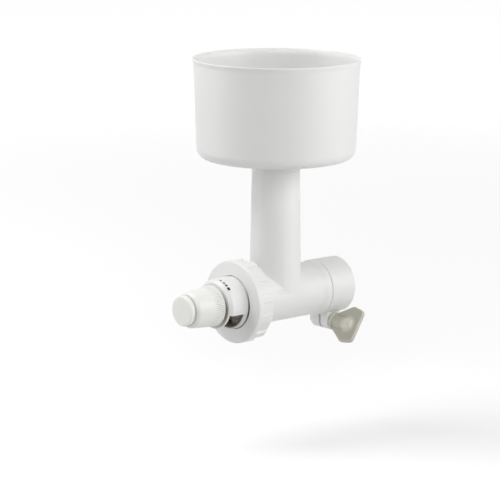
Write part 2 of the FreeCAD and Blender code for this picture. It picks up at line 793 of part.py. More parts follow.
def make_knob_spring():
    """Compression spring round the stem that keeps the spindle's head against the knob."""
    radius = size("coil_radius")
    wire = size("coil_wire")
    turns = int(size("coil_turns"))
    low = size("neck_front + coil_play") + wire
    high = size("spindle_head_rear - coil_play") - wire
    pitch = (high - low) / turns
    steps = 4 * turns

    def place(angle):
        return VECTOR(radius * math.cos(angle), -low - pitch * angle / (2 * math.pi), radius * math.sin(angle))

    def way(angle):
        along = VECTOR(-radius * math.sin(angle), -pitch / (2 * math.pi), radius * math.cos(angle))
        return along.normalize()

    angles = [math.pi / 2 * step for step in range(steps + 1)]
    edges = []
    for one, other in zip(angles, angles[1:]):
        edges += quarter_biarc(place(one), way(one), place(other), way(other))
    path = Part.Wire(edges)
    section = Part.Wire([Part.Circle(place(0.0), way(0.0), wire).toShape()])
    print(f"knob_spring: least gap between turns {pitch - 2 * wire:.2f} mm")
    spring = doc.addObject("Part::Feature", "knob_spring")
    spring.Shape = path.makePipeShell([section], True, False)
    return spring


def make_hopper():
    """Thin open bowl with a flared rim, a softly rounded bottom and a spigot for the feed tube."""
    low = "(tube_top + hopper_bottom_rise)"
    rim = "(hopper_rim_height - hopper_lip_drop)"
    floor = "(tube_top + hopper_wall)"
    spigot = "(tube_top - hopper_spigot_length)"
    body = turned("hopper", [
        ("hopper_spigot_bore", spigot),
        ("hopper_spigot_radius", spigot),
        ("hopper_spigot_radius", "tube_top"),
        ("hopper_neck", "tube_top"),
        ("hopper_low_radius", low),
        ("hopper_top_radius", rim),
        ("hopper_rim_radius", "hopper_rim_height - hopper_wall / 2"),
        ("hopper_rim_radius", "hopper_rim_height"),
        ("hopper_rim_radius - hopper_wall", "hopper_rim_height"),
        ("hopper_top_radius - hopper_wall", rim),
        ("hopper_low_radius - hopper_wall", f"{low} + hopper_wall"),
        ("hopper_neck", floor),
        ("hopper_spigot_bore", f"{floor} - hopper_wall / 2"),
    ], plane="XZ_Plane")
    body.setExpression("Placement.Base.y", bound("-tube_offset"))
    doc.recompute()
    soften(body, "Fillet", circle_edges(body, "hopper_low_radius", "z", low), "hopper_corner", "corner_outside")
    inside = circle_edges(body, "hopper_low_radius - hopper_wall", "z", f"{low} + hopper_wall")
    soften(body, "Fillet", inside, "hopper_corner - hopper_wall", "corner_inside")
    return body


def along_clamp(label, corners):
    """Body of revolution about the clamp screw, from places along X and radii."""
    body = turned(label, corners, "H_Axis", "XZ_Plane")
    body.setExpression("Placement.Base.y", bound("-clamp_axis_depth"))
    body.setExpression("Placement.Base.z", bound("-clamp_axis_drop"))
    return body


def make_clamp_nut():
    """Hexagon nut on the screw's far side."""
    body = sub_part("clamp_nut")
    body.setExpression("Placement.Base.y", bound("-clamp_axis_depth"))
    body.setExpression("Placement.Base.z", bound("-clamp_axis_drop"))
    hexagon = outline(body, "nut_hexagon", "YZ_Plane", hexagon_corners("nut_width"), {"z": "-ear_left"})
    extrude(body, "Pad", hexagon, "nut_thickness", backwards=True)
    hole = circle(body, "nut_hole", "YZ_Plane", "0", "0", "stud_hole")
    extrude(body, "Pocket", hole, "4 * ear_left", symmetric=True)
    return body


def make_clamp_washer():
    """Plain washer between the ear and the wing screw."""
    inner = "(ear_right + washer_play)"
    outer = f"({inner} + washer_thickness)"
    return along_clamp("clamp_washer", [
        (inner, "stud_hole"), (outer, "stud_hole"), (outer, "washer_radius"), (inner, "washer_radius"),
    ])


def make_wing_head():
    """Nylon wing head moulded on the stud: round flange, tapered hub and a flat two-sided wing."""
    rear = "(ear_right + 2 * washer_play + washer_thickness)"
    body = along_clamp("wing_head", [
        (rear, "0"),
        (rear, "flange_radius"),
        ("flange_end", "flange_radius"),
        ("flange_end", "wing_hub_radius"),
        ("wing_hub_end", "wing_hub_tip"),
        ("wing_hub_end", "0"),
    ])
    body.Placement.Rotation = FreeCAD.Rotation(VECTOR(-1, 0, 0), size("wing_turn"))
    body.setExpression("Placement.Rotation.Angle", bound("wing_turn * 1 deg"))
    start = "(flange_end - washer_thickness)"
    wing = outline(body, "wing", "XZ_Plane", [
        (start, "-flange_radius"),
        ("flange_end", "-flange_radius"),
        ("wing_widest", "-wing_reach"),
        ("wing_corner", "-wing_corner_reach"),
        ("wing_end", "-wing_end_reach"),
        ("wing_end", "wing_end_reach"),
        ("wing_corner", "wing_corner_reach"),
        ("wing_widest", "wing_reach"),
        ("flange_end", "flange_radius"),
        (start, "flange_radius"),
    ])
    extrude(body, "Pad", wing, "wing_thickness", symmetric=True)
    corners = []
    for number, edge in enumerate(body.Tip.Shape.Edges, 1):
        ends = [vertex.Point for vertex in edge.Vertexes]
        across = len(ends) == 2 and abs(ends[0].y - ends[1].y) > size("wing_thickness - wing_corner_round")
        if across and isinstance(edge.Curve, Part.Line) and ends[0].x > size("flange_end + wing_corner_round"):
            corners.append(f"Edge{number}")
    soften(body, "Fillet", corners, "wing_corner_round", "wing_corners")
    hole = circle(body, "stud_socket", "YZ_Plane", "0", "0", "stud_radius")
    extrude(body, "Pocket", hole, "2 * stud_right", symmetric=True)
    return body


def make_clamp_stud():
    """Steel stud that runs through both ears into the nut."""
    return along_clamp("clamp_stud", [
        ("-stud_left", "0"),
        ("stud_right", "0"),
        ("stud_right", "stud_radius"),
        ("-(stud_left - edge_round)", "stud_radius"),
        ("-stud_left", "stud_radius - edge_round"),
    ])


PIECES = [
    make_mill_housing(),
    make_clamp_sleeve(),
    make_rear_bush(),
    make_thrust_washer(),
    make_shaft_clip(),
    make_drive_shaft(),
    make_feed_screw(),
    make_grinding_ring(),
    make_grinding_cone(),
    make_outlet_collar(),
    make_locking_ring(),
    make_adjusting_knob(),
    make_knob_cap(),
    make_thrust_spindle(),
    make_thrust_ball(),
    make_knob_spring(),
    make_hopper(),
    make_clamp_nut(),
    make_clamp_washer(),
    make_wing_head(),
    make_clamp_stud(),
]
doc.recompute()

for item in doc.Objects:
    if "Invalid" in item.State or "Error" in item.State:
        raise RuntimeError(f"{item.Label} failed: {item.State}")
for piece in PIECES:
    if piece.Shape.isNull() or not piece.Shape.isValid() or len(piece.Shape.Solids) != 1:
        raise RuntimeError(f"{piece.Label} is not one valid solid")

os.makedirs("parts", exist_ok=True)
for piece in PIECES:
    piece.Shape.exportStep(f"parts/{piece.Label}.step")
    print(f"{piece.Label}: {piece.Shape.Volume / 1000:.2f} cm3")
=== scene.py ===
"""Grain mill attachment in white moulded plastic: looks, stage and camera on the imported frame."""
import math

import bmesh
import bpy
from mathutils import Matrix, Vector


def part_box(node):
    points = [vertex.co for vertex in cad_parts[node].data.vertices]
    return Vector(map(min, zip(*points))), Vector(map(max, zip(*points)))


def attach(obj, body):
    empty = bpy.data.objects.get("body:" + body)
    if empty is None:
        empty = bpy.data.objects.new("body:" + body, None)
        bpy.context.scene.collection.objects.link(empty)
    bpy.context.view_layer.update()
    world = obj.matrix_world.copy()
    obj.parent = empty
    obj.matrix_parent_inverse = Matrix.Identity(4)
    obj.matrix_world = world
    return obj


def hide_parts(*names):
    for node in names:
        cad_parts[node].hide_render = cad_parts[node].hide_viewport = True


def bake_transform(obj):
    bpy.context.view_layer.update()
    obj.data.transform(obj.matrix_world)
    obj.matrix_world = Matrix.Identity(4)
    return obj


bl_info = {
    "name": "Grain Mill Attachment",
    "version": (1, 0, 0),
    "blender": (4, 5, 0),
    "location": "View3D > Sidebar > Mill",
    "description": "Models the pieces of a hopper-fed grain mill and lights them in a plain studio",
    "category": "Object",
}

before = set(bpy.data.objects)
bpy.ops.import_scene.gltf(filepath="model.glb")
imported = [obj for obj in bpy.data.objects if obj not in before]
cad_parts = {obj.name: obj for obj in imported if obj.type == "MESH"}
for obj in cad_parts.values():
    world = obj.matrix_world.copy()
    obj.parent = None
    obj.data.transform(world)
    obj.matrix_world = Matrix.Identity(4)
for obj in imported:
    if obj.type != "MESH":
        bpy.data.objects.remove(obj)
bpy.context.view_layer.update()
MM = 0.001

HOPPER_LOW, HOPPER_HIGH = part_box("hopper")
HOUSING_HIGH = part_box("mill_housing")[1]
SLEEVE_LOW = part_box("clamp_sleeve")[0]
RING_LOW, RING_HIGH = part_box("locking_ring")
COLLAR_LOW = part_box("outlet_collar")[0]
KNOB_LOW, KNOB_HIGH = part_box("adjusting_knob")
CAP_LOW, CAP_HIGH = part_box("knob_cap")
NUT_LOW, NUT_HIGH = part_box("clamp_nut")
WASHER_LOW, WASHER_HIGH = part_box("clamp_washer")
STUD_LOW, STUD_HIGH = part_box("clamp_stud")
WING_LOW, WING_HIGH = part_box("wing_head")
SPRING_LOW, SPRING_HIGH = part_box("knob_spring")

# Round pieces stand on the clamp screw's axis along X, the barrel's along Y or the feed tube's along Z.
CLAMP_AXIS = (NUT_LOW + NUT_HIGH) / 2
CENTRES = {"X": CLAMP_AXIS, "Y": Vector(), "Z": (HOPPER_LOW + HOPPER_HIGH) / 2}

ROUND_SIDES = 192
COLLAR_SIDES = 180
RING_SIDES = 360
STUD_SIDES = 48
HEX_SIDES = 6
HEX_TURN = math.radians(30)
NOSE_STEPS = 5
KNOB_RIBS = 64
SIDES_PER_RIB = 4
SPRING_TURNS = 5
SPRING_STEPS = 40
WIRE_SIDES = 14

# Lengths for the modelling: tolerance, welding, overshoot of cutters and play of seats.
NEAR = 0.02 * MM
WELD = 0.002 * MM
PAST = 4 * MM
SEAT_PLAY = 0.05 * MM
SMOOTH_ANGLE = math.radians(32)

# Widths of the roundings, from a hair line to a broad curve.
THIN_EDGE = 0.2 * MM
HAIR_EDGE = 0.25 * MM
FINE_EDGE = 0.3 * MM
LIP_EDGE = 0.4 * MM
LUG_EDGE = 0.45 * MM
SMALL_EDGE = 0.5 * MM
SOFT_EDGE = 0.6 * MM
FULL_EDGE = 0.8 * MM
SEAT_ROUND = 1.0 * MM
TIP_ROUND = 1.2 * MM
BROAD_ROUND = 2.2 * MM
FLOOR_ROUND = 3.0 * MM

# Small forms: printed marks (angle from +X in degrees, half width and half length in millimetres),
# knob grooves, wing root, stud, nut and spring.
MARKS = ((77.5, 1.35, 0.8), (65.7, 1.15, 1.0), (57.3, 1.3, 1.15), (47.2, 1.7, 1.45))
MARK_PLACE = -139.4 * MM
MARK_SINK = 0.06 * MM
MARK_THICKNESS = 0.09 * MM
MARK_SIDES = 32
KNOB_EDGE = 0.6 * MM
GROOVE_RUN = 0.7 * MM
WING_ROOT = 1.0 * MM
STUD_CHAMFER = 0.6 * MM
NUT_CHAMFER = 0.55 * MM
CROWN_PAST = 0.1 * MM
SPRING_WIRE = 0.7 * MM

# Where flour lies and where shade is painted with dirt and flour tones: radii inside the collar, places along
# the barrel and heights, then how much lies there and how bright it is.
FLOUR_START = 22.5 * MM
FLOUR_FULL = 21.2 * MM
WINDOW_DIRT_AND_SHADE_START = 21.5 * MM
WINDOW_DIRT_AND_SHADE_FULL = 20.8 * MM
NOSE_BACK = -141.3 * MM
WINDOW_WALL = -126.8 * MM
# Crevices that take dust and painted shade: by the ring and by the knob.
RING_CREVICE = (-123.0 * MM, -124.2 * MM)
NOSE_CREVICE = (-143.8 * MM, -143.0 * MM)
CREVICE_HEIGHT = -4 * MM
CREVICE_FAR = 20 * MM
CREVICE_NEAR = 4 * MM
FLOUR_AMOUNT = 1.7
FLOUR_SHADE = 1.7
BURR_FLOUR_SHADE = 1.8
WINDOW_DIRT_AND_SHADE_TONE = 0.5
# Soil of flour dust and painted shade in the knob's grooves and at its seam by the cap.
KNURL_SOIL_AND_SHADE = 0.4
CAP_SEAM_SOIL_AND_SHADE = 0.35
CAP_SEAM = 0.35 * MM

# Painted glow in the end of the wing's hub: its place along the screw, its reach and how bright it is.
HUB_PAINTED_GLOW_PLACE = 29.5 * MM
HUB_PAINTED_GLOW_EDGE = 9.5 * MM
HUB_PAINTED_GLOW_CORE = 4.5 * MM
HUB_PAINTED_GLOW_SHADE = 1.45

# Stage: floor, surround and camera.
FLOOR_SIZE = 24
FLOOR_HEIGHT = -125 * MM
FLOOR_NEAR = 0.3
FLOOR_FAR = 2.2
FLOOR_FILL_NEAR = 0.46
FLOOR_FILL_FAR = 0.9
AMBIENT = 0.11
LAMP_AIM = Vector((0, -73 * MM, 60 * MM))
CAMERA_PLACE = Vector((1.59532, -1.50524, 0.46894))
CAMERA_BACK = Vector((0.73626, -0.64750, 0.19663))
CAMERA_ROLL = math.radians(0.34)
CAMERA_SENSOR = 36
CAMERA_LENS = 182.0
CAMERA_START = 0.05
CAMERA_END = 60


def linear(code):
    """Linear colour of an sRGB hex value."""
    parts = [int(code[place:place + 2], 16) / 255 for place in (0, 2, 4)]
    return tuple(p / 12.92 if p <= 0.04045 else ((p + 0.055) / 1.055) ** 2.4 for p in parts)


def length(name, description, metres):
    """Length property with its default in metres."""
    return bpy.props.FloatProperty(name=name, description=description, default=metres,
                                   unit="LENGTH", precision=5)


def angle(name, description, degrees):
    """Angle property with its default in degrees."""
    return bpy.props.FloatProperty(name=name, description=description, default=math.radians(degrees),
                                   unit="ROTATION", subtype="ANGLE")


def colour(name, description, code):
    """Colour property with its default as an sRGB hex value."""
    return bpy.props.FloatVectorProperty(name=name, description=description, default=linear(code),
                                         subtype="COLOR", size=3, min=0, max=1)


class MillHopperSizes(bpy.types.PropertyGroup):
    """Sizes of the hopper and the feed tube that carries it."""
    rim_radius: length("Rim radius", "Outside of the flared rim", (HOPPER_HIGH.x - HOPPER_LOW.x) / 2)
    rim_height: length("Rim height", "Top of the rim above the barrel's axis", HOPPER_HIGH.z)
    rim_drop: length("Rim drop", "Height over which the wall flares out to the rim", 3.2 * MM)
    top_radius: length("Top radius", "Outside of the wall under the rim", 71.4 * MM)
    low_radius: length("Low radius", "Outside of the wall at the bottom corner", 68.2 * MM)
    wall: length("Wall", "Thickness of the bowl's wall at the bottom", 2.2 * MM)
    top_wall: length("Top wall", "Thickness of the bowl's wall under the rim", 1.5 * MM)
    lip: length("Lip", "Thickness of the rim's edge", 0.9 * MM)
    corner: length("Corner", "Rounding between the wall and the bottom", 9.2 * MM)
    bottom_rise: length("Bottom rise", "Rise of the bottom from the neck to the corner", 2.0 * MM)
    neck_radius: length("Neck radius", "Flat seat on top of the feed tube", 22.0 * MM)
    spigot_radius: length("Spigot radius", "Outside of the plug in the feed tube", 17.3 * MM)
    spigot_bore: length("Spigot bore", "Inside of the plug", 15.2 * MM)
    tube_base: length("Tube base radius", "Feed tube at the barrel's axis", 22.55 * MM)
    tube_top: length("Tube top radius", "Feed tube under its lip", 20.72 * MM)
    tube_lip: length("Tube lip", "Step of the lip out of the tube", 0.35 * MM)
    tube_lip_height: length("Tube lip height", "Height of the lip", 8.6 * MM)
    tube_bore_base: length("Tube bore at the base", "Inside of the tube at the barrel's axis", 17.4 * MM)
    tube_bore_top: length("Tube bore at the top", "Inside of the tube at its mouth", 18.0 * MM)


class MillBarrelSizes(bpy.types.PropertyGroup):
    """Sizes of the barrel, its clamp sleeve and its threaded mouth."""
    radius: length("Barrel radius", "Outside of the barrel", 22.9 * MM)
    bore: length("Barrel bore", "Room for the feed screw", 19.2 * MM)
    sleeve_radius: length("Sleeve radius", "Outside of the sleeve and the shoulder", 24.5 * MM)
    sleeve_length: length("Sleeve length", "Rear face to the seam", 27.0 * MM)
    seam: length("Seam chamfer", "Chamfer on each side of the seam", 0.5 * MM)
    shoulder_land: length("Shoulder land", "Level part of the shoulder", 3.4 * MM)
    shoulder_ramp: length("Shoulder ramp", "Slope from the shoulder to the barrel", 6.3 * MM)
    spigot_radius: length("Spigot radius", "Part of the housing inside the sleeve", 21.6 * MM)
    spigot_bore: length("Spigot bore", "Room behind the bulkhead", 16.0 * MM)
    hub_bore: length("Hub bore", "Bore that grips the drive hub", 21.0 * MM)
    hub_depth: length("Hub depth", "Length of the hub's bore", 15.0 * MM)
    bulkhead_front: length("Bulkhead front", "Front of the wall that holds the bush", 36.0 * MM)
    bush_hole: length("Bush hole", "Hole for the bush", 12.0 * MM)
    mouth_rear: length("Mouth rear", "Where the thick mouth begins", 106.3 * MM)
    mouth_front: length("Mouth front", "Front face of the mouth", 115.3 * MM)
    mouth_radius: length("Mouth radius", "Outside of the mouth's thread", 29.5 * MM)
    mouth_bore: length("Mouth bore", "Seat of the fixed burr", 24.6 * MM)
    mouth_floor: length("Mouth floor", "Back of the burr's seat", 107.1 * MM)
    ear_radius: length("Ear radius", "Rounded end of the clamp ears", 7.8 * MM)
    ear_round: length("Ear edge", "Rounding of the ears' edges", 0.6 * MM)
    clamp_gap: length("Clamp gap", "Slit between the ears", 2.4 * MM)
    stud_hole: length("Stud hole", "Radius of the hole in the ears", 3.3 * MM)


class MillHeadSizes(bpy.types.PropertyGroup):
    """Sizes of the locking ring, the outlet collar, the knob and its cap."""
    ring_radius: length("Ring radius", "Outside of the lugs and the front flange", 35.7 * MM)
    ring_base: length("Ring base", "Outside of the ring between the lugs", 34.0 * MM)
    ring_bore: length("Ring bore", "Thread of the ring", 29.9 * MM)
    ring_hole: length("Ring hole", "Hole for the collar", 22.9 * MM)
    hole_edge: length("Hole edge", "Chamfer of the ring's hole at the front", 0.6 * MM)
    ring_lip: length("Ring lip", "Thickness of the ring's front wall", 3.5 * MM)
    ring_flange: length("Ring flange", "Length of the full rim in front of the lugs", 5.15 * MM)
    ring_edge: length("Ring edge", "Chamfer of the front rim", 0.9 * MM)
    lug_end: length("Lug end", "Where the lugs end, from the rear face of the sleeve", 106.0 * MM)
    lug_clocking: angle("Lug clocking", "Middle of the first gap between lugs, from +X", 27.5)
    lug_pitch: angle("Lug pitch", "Angle from lug to lug", 30.0)
    lug_gap: angle("Lug gap", "Angle of the gap between two lugs", 18.0)
    collar_radius: length("Collar radius", "Outside of the collar", 22.55 * MM)
    collar_bore: length("Collar bore", "Inside of the collar", 20.0 * MM)
    collar_flange: length("Collar flange", "Flange under the ring", 28.3 * MM)
    flange_front: length("Flange front", "Front of the flange", 119.3 * MM)
    collar_shoulder: length("Collar shoulder", "Where the nose cone begins", 141.0 * MM)
    collar_front: length("Collar front", "Front of the nose cone", 143.7 * MM)
    collar_nose: length("Collar nose", "Radius at the front of the cone", 19.6 * MM)
    nose_round: length("Nose round", "Length of the rounding between the collar and its nose cone", 1.7 * MM)
    collar_web: length("Collar web", "Back of the front wall", 141.2 * MM)
    burr_seat: length("Burr seat", "Recess for the fixed burr", 24.3 * MM)
    burr_front: length("Burr front", "Front of that recess", 117.3 * MM)
    neck_radius: length("Neck radius", "Thread under the knob", 11.7 * MM)
    neck_bore: length("Neck bore", "Hole for the spindle", 4.6 * MM)
    window_rear: length("Window rear", "Back edge of the flour window", 127.5 * MM)
    window_angle: angle("Window angle", "Opening of the flour window round the bottom", 148.0)
    knob_rear_radius: length("Knob rear radius", "Knob at the collar", 17.75 * MM)
    knob_front_radius: length("Knob front radius", "Knob at its front face", 15.5 * MM)
    knob_shoulder: length("Knob shoulder", "Rounding at the knob's front", 3.8 * MM)
    knob_thread: length("Knob thread", "Bore on the collar's neck", 12.0 * MM)
    knob_floor: length("Knob floor", "Back of the cap's seat", 169.6 * MM)
    relief_inner: length("Relief inside", "Inside of the groove in the knob's rear face", 13.6 * MM)
    relief_outer: length("Relief outside", "Outside of that groove at the rear face", 15.7 * MM)
    relief_draft: length("Relief draft", "Draft of that groove's outside", 1.0 * MM)
    relief_front: length("Relief front", "Front end of that groove", 156.0 * MM)
    cap_seat: length("Cap seat", "Radius of the cap's plug", 8.8 * MM)
    cap_rear: length("Cap rear", "Back of the cap's head", 173.85 * MM)
    cap_round: length("Cap round", "Rounding of the cap's front edge", 1.6 * MM)
    knurl_rear: length("Knurl rear", "Back end of the knurled band", 146.4 * MM)
    knurl_middle: length("Knurl middle", "Where the grooves are half as deep", 151.0 * MM)
    knurl_front: length("Knurl front", "Front end of the knurled band", 155.4 * MM)
    knurl_depth: length("Knurl depth", "Depth of the grooves at the back", 0.8 * MM)


class MillClampSizes(bpy.types.PropertyGroup):
    """Sizes of the wing screw."""
    flange_radius: length("Flange radius", "Round flange of the wing head", 8.0 * MM)
    flange_end: length("Flange end", "Outer face of the flange", 13.4 * MM)
    hub_radius: length("Hub radius", "Hub at the flange", 6.2 * MM)
    hub_tip: length("Hub tip", "Hub at its end", 5.0 * MM)
    hub_end: length("Hub end", "Outer end of the hub", 34.5 * MM)
    widest: length("Widest place", "Where the wing is widest", 28.0 * MM)
    reach: length("Reach", "Half of the wing's width", 17.0 * MM)
    corner: length("Corner place", "Where the wing's end begins to turn in", 38.9 * MM)
    corner_reach: length("Corner reach", "Half width at the corner", 15.2 * MM)
    end_reach: length("End reach", "Half width of the wing's end", 12.8 * MM)
    thickness: length("Wing thickness", "Thickness of the wing", 3.8 * MM)
    corner_round: length("Corner round", "Rounding of the wing's outline", 1.6 * MM)
    edge_round: length("Edge round", "Rounding of the wing's edges", 0.9 * MM)
    turn: angle("Wing turn", "Turn of the wing out of the upright", 31.6)
    thread_pitch: length("Thread pitch", "Pitch of the stud's thread", 1.0 * MM)
    thread_depth: length("Thread depth", "Depth of the stud's thread", 0.4 * MM)


class MillColours(bpy.types.PropertyGroup):
    """Colours of the finishes."""
    housing: colour("Housing", "Satin polypropylene of the body, ring and collar", "EFEFEE")
    hopper: colour("Hopper", "Thin polypropylene of the hopper", "EBEBEA")
    knob: colour("Knob", "Acetal of the knob and its cap", "F2F2EE")
    screw: colour("Feed screw", "Acetal of the feed screw", "E9E8E2")
    nylon: colour("Nylon", "Undyed nylon of the wing head", "CBC9BC")
    ink: colour("Ink", "Pad-printed marks", "161616")
    # Flour is also laid into the knob's grooves, at its seam by the cap and in the crevice by the knob, where
    # it stands partly for painted shade.
    flour: colour("Flour dust", "Warm dust in the flour window", "8A8070")
    # This dark tone is painted shade, partly dirt, in the collar's window and in the crevice by the ring.
    dirt_and_shade: colour("Dirt", "Dark flour dust packed in the crevices of the collar", "4A4338")
    steel: colour("Steel", "Turned and ground steel", "8F8C86")
    burr: colour("Burr steel", "Hardened steel of the burrs", "625F5A")
    spring: colour("Spring steel", "Oiled spring wire", "6F6D6A")
    plating: colour("Plating", "Bright nickel plating", "B4B5B6")
    bronze: colour("Bronze", "Sintered bronze of the bush", "A97C4A")
    floor: colour("Floor", "Pale studio floor", "D2D2D2")


def deselect():
    """Object mode with nothing selected, because an operator acts on all that is selected."""
    if bpy.context.object and bpy.context.object.mode != "OBJECT":
        bpy.ops.object.mode_set(mode="OBJECT")
    bpy.ops.object.select_all(action="DESELECT")


def activate(piece):
    """Make one object the only selected one."""
    deselect()
    piece.select_set(True)
    bpy.context.view_layer.objects.active = piece


def polar(point, axis):
    """Radius, place along the axis and angle round it of a point."""
    offset = point - CENTRES[axis]
    along = "XYZ".index(axis)
    across, up = {"X": (1, 2), "Y": (0, 2), "Z": (0, 1)}[axis]
    return math.hypot(offset[across], offset[up]), point[along], math.atan2(offset[up], offset[across])


def pick(piece, kind, test):
    """Select the vertices, edges or faces that pass a test, and nothing else."""
    bpy.ops.mesh.select_mode(type={"verts": "VERT", "edges": "EDGE", "faces": "FACE"}[kind])
    bpy.ops.mesh.select_all(action="DESELECT")
    mesh = bmesh.from_edit_mesh(piece.data)
    found = [item for item in getattr(mesh, kind) if test(item)]
    if not found:
        raise RuntimeError(f"{piece.name}: nothing to select")
    for item in found:
        item.select_set(True)
    mesh.select_flush_mode()
    bmesh.update_edit_mesh(piece.data)


def tidy_mesh():
    """Merge doubles and turn all faces outwards."""
    bpy.ops.mesh.select_mode(type="VERT")
    bpy.ops.mesh.select_all(action="SELECT")
    bpy.ops.mesh.remove_doubles(threshold=WELD)
    bpy.ops.mesh.normals_make_consistent(inside=False)


def start(name):
    """Name the primitive that was just added, set its place in its mesh and open it in edit mode."""
    piece = bpy.context.object
    piece.name = name
    piece.data.name = name
    bpy.ops.object.transform_apply(location=True, rotation=True, scale=True)
    bpy.ops.object.mode_set(mode="EDIT")
    bpy.ops.mesh.select_all(action="SELECT")
    return piece


def spread(axis, factor, middle):
    """Scale the selection away from an axis through a point."""
    value = Vector((factor, factor, factor))
    value["XYZ".index(axis)] = 1
    bpy.ops.transform.resize(value=value, center_override=middle)


def turned(name, axis, profile, closed=False, sides=ROUND_SIDES):
    """Round piece: a ring at the profile's first point, extruded, moved and scaled from point to point,
    and capped at both ends or closed back to the first point."""
    along = "XYZ".index(axis)
    radius, place = profile[0]
    middle = CENTRES[axis].copy()
    middle[along] = place
    lean = {"X": (0, math.pi / 2, 0), "Y": (math.pi / 2, 0, 0), "Z": (0, 0, 0)}[axis]
    deselect()
    bpy.ops.mesh.primitive_circle_add(vertices=sides, radius=radius, location=middle, rotation=lean)
    piece = start(name)
    for next_radius, next_place in profile[1:] + (profile[:1] if closed else []):
        step = Vector()
        step[along] = next_place - place
        bpy.ops.mesh.extrude_edges_move(TRANSFORM_OT_translate={"value": step})
        middle[along] = next_place
        spread(axis, next_radius / radius, middle)
        radius, place = next_radius, next_place
    tidy_mesh()
    if not closed:
        cap_open_ends()
    return piece


def round_rims(piece, axis, rims):
    """Round circular edges, each given by its radius, place, width of rounding and number of steps."""
    for radius, place, width, steps in rims:
        def on_rim(edge):
            spots = [polar(corner.co, axis) for corner in edge.verts]
            return all(abs(spot[0] - radius) < NEAR and abs(spot[1] - place) < NEAR for spot in spots)
        pick(piece, "edges", on_rim)
        bpy.ops.mesh.bevel(offset=width, segments=steps, affect="EDGES")


def reopen(piece):
    """Go back to edit mode after an object operation and clean the mesh."""
    activate(piece)
    bpy.ops.object.mode_set(mode="EDIT")
    tidy_mesh()


def pick_open_edges():
    """Select the edges round the holes in the mesh."""
    bpy.ops.mesh.select_mode(type="EDGE")
    bpy.ops.mesh.select_all(action="DESELECT")
    bpy.ops.mesh.select_non_manifold()


def cap_open_ends():
    """Close the open ends of a tube with a face each."""
    pick_open_edges()
    bpy.ops.mesh.edge_face_add()
    tidy_mesh()


def modify(piece, kind, **settings):
    """Add a modifier with its settings and apply it."""
    activate(piece)
    bpy.ops.object.modifier_add(type=kind)
    change = piece.modifiers[-1]
    for key, value in settings.items():
        setattr(change, key, value)
    bpy.ops.object.modifier_apply(modifier=change.name)


def combine(piece, tool, operation):
    """Join a second shape to the piece, cut it out or keep what both share, and remove it."""
    modify(piece, "BOOLEAN", operation=operation, solver="EXACT", object=tool)
    bpy.data.objects.remove(tool)


def soften_edges(piece, width, steps):
    """Round every sharp edge of the piece a little."""
    modify(piece, "BEVEL", width=width, segments=steps, limit_method="ANGLE", angle_limit=SMOOTH_ANGLE)


def hand_over(piece, body, slot, finish, *nodes):
    """Smooth the piece, give it its finish and let it stand for its nodes on their body."""
    activate(piece)
    bpy.ops.object.shade_smooth_by_angle(angle=SMOOTH_ANGLE)
    modify(piece, "WEIGHTED_NORMAL", keep_sharp=True)
    piece.data.materials.clear()
    piece.data.materials.append(finish)
    if nodes:
        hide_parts(*nodes)
    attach(piece, body)


def add_node(tree, kind, inputs=None, **settings):
    """Add a node, set its options, and set its inputs or link them to a socket or a node's first output."""
    node = tree.nodes.new("ShaderNode" + kind)
    for key, value in settings.items():
        setattr(node, key, value)
    for key, value in (inputs or {}).items():
        if isinstance(value, bpy.types.Node):
            value = next(socket for socket in value.outputs if socket.enabled)
        if isinstance(value, bpy.types.NodeSocket):
            tree.links.new(value, node.inputs[key])
        else:
            node.inputs[key].default_value = value
    return node


def blank_material(name):
    """New material, its empty node tree and the place on the piece for its patterns."""
    finish = bpy.data.materials.new(name)
    finish.use_nodes = True
    tree = finish.node_tree
    tree.nodes.clear()
    return finish, tree, add_node(tree, "TexCoord").outputs["Object"]


def per_metre(millimetres):
    """Texture scale whose features are that size."""
    return 1 / (millimetres * MM)


def shade(tint, amount):
    """Colour scaled in brightness, with full alpha."""
    return (*[min(1, part * amount) for part in tint], 1)


def moulded_plastic(name, tint, grain, gloss, depth, glow, soil=None):
    """Injection-moulded plastic: an even tint that drifts a little with wall and flow, a fine eroded grain
    that breaks up the gloss, light that soaks in and softens the shading, and a soil colour of flour dust and
    painted shade where the mesh is marked for it."""
    found = bpy.data.materials.get(name)
    if found:
        return found
    finish, tree, place = blank_material(name)
    drift = add_node(tree, "TexNoise", {
        "Vector": place, "Scale": per_metre(38), "Detail": 2.0, "Roughness": 0.5})
    tone = add_node(tree, "Mix", {
        0: drift.outputs["Fac"], 6: shade(tint, 0.975), 7: shade(tint, 1.0)}, data_type="RGBA")
    # Flour dust and painted shade: marked places take a darker colour that stands for the shade in grooves
    # and seams.
    if soil:
        caught = add_node(tree, "Attribute", attribute_name="soil")
        tone = add_node(tree, "Mix", {
            0: caught.outputs["Fac"], 6: tone, 7: shade(soil, 1.0)}, data_type="RGBA")
    # The real grain is about 0.1 mm; it is drawn coarser, or it wouldn't show.
    eroded = add_node(tree, "TexNoise", {
        "Vector": place, "Scale": per_metre(grain), "Detail": 3.0, "Roughness": 0.6})
    polish = add_node(tree, "MapRange", {
        "Value": eroded.outputs["Fac"], "From Min": 0.3, "From Max": 0.7,
        "To Min": gloss - 0.04, "To Max": gloss + 0.05})
    relief = add_node(tree, "Bump", {
        "Height": eroded.outputs["Fac"], "Strength": 0.25, "Distance": depth * MM})
    surface = add_node(tree, "BsdfPrincipled", {
        "Base Color": tone, "Roughness": polish, "Normal": relief, "IOR": 1.49,
        "Subsurface Weight": glow, "Subsurface Radius": (1.0, 0.96, 0.9), "Subsurface Scale": 3 * MM})
    add_node(tree, "OutputMaterial", {"Surface": surface})
    return finish


def housing_plastic(colours):
    """Satin white polypropylene of the body: soft, broad highlights."""
    return moulded_plastic("moulded_polypropylene_satin_white", colours.housing,
                           grain=0.8, gloss=0.36, depth=0.02, glow=0.08)


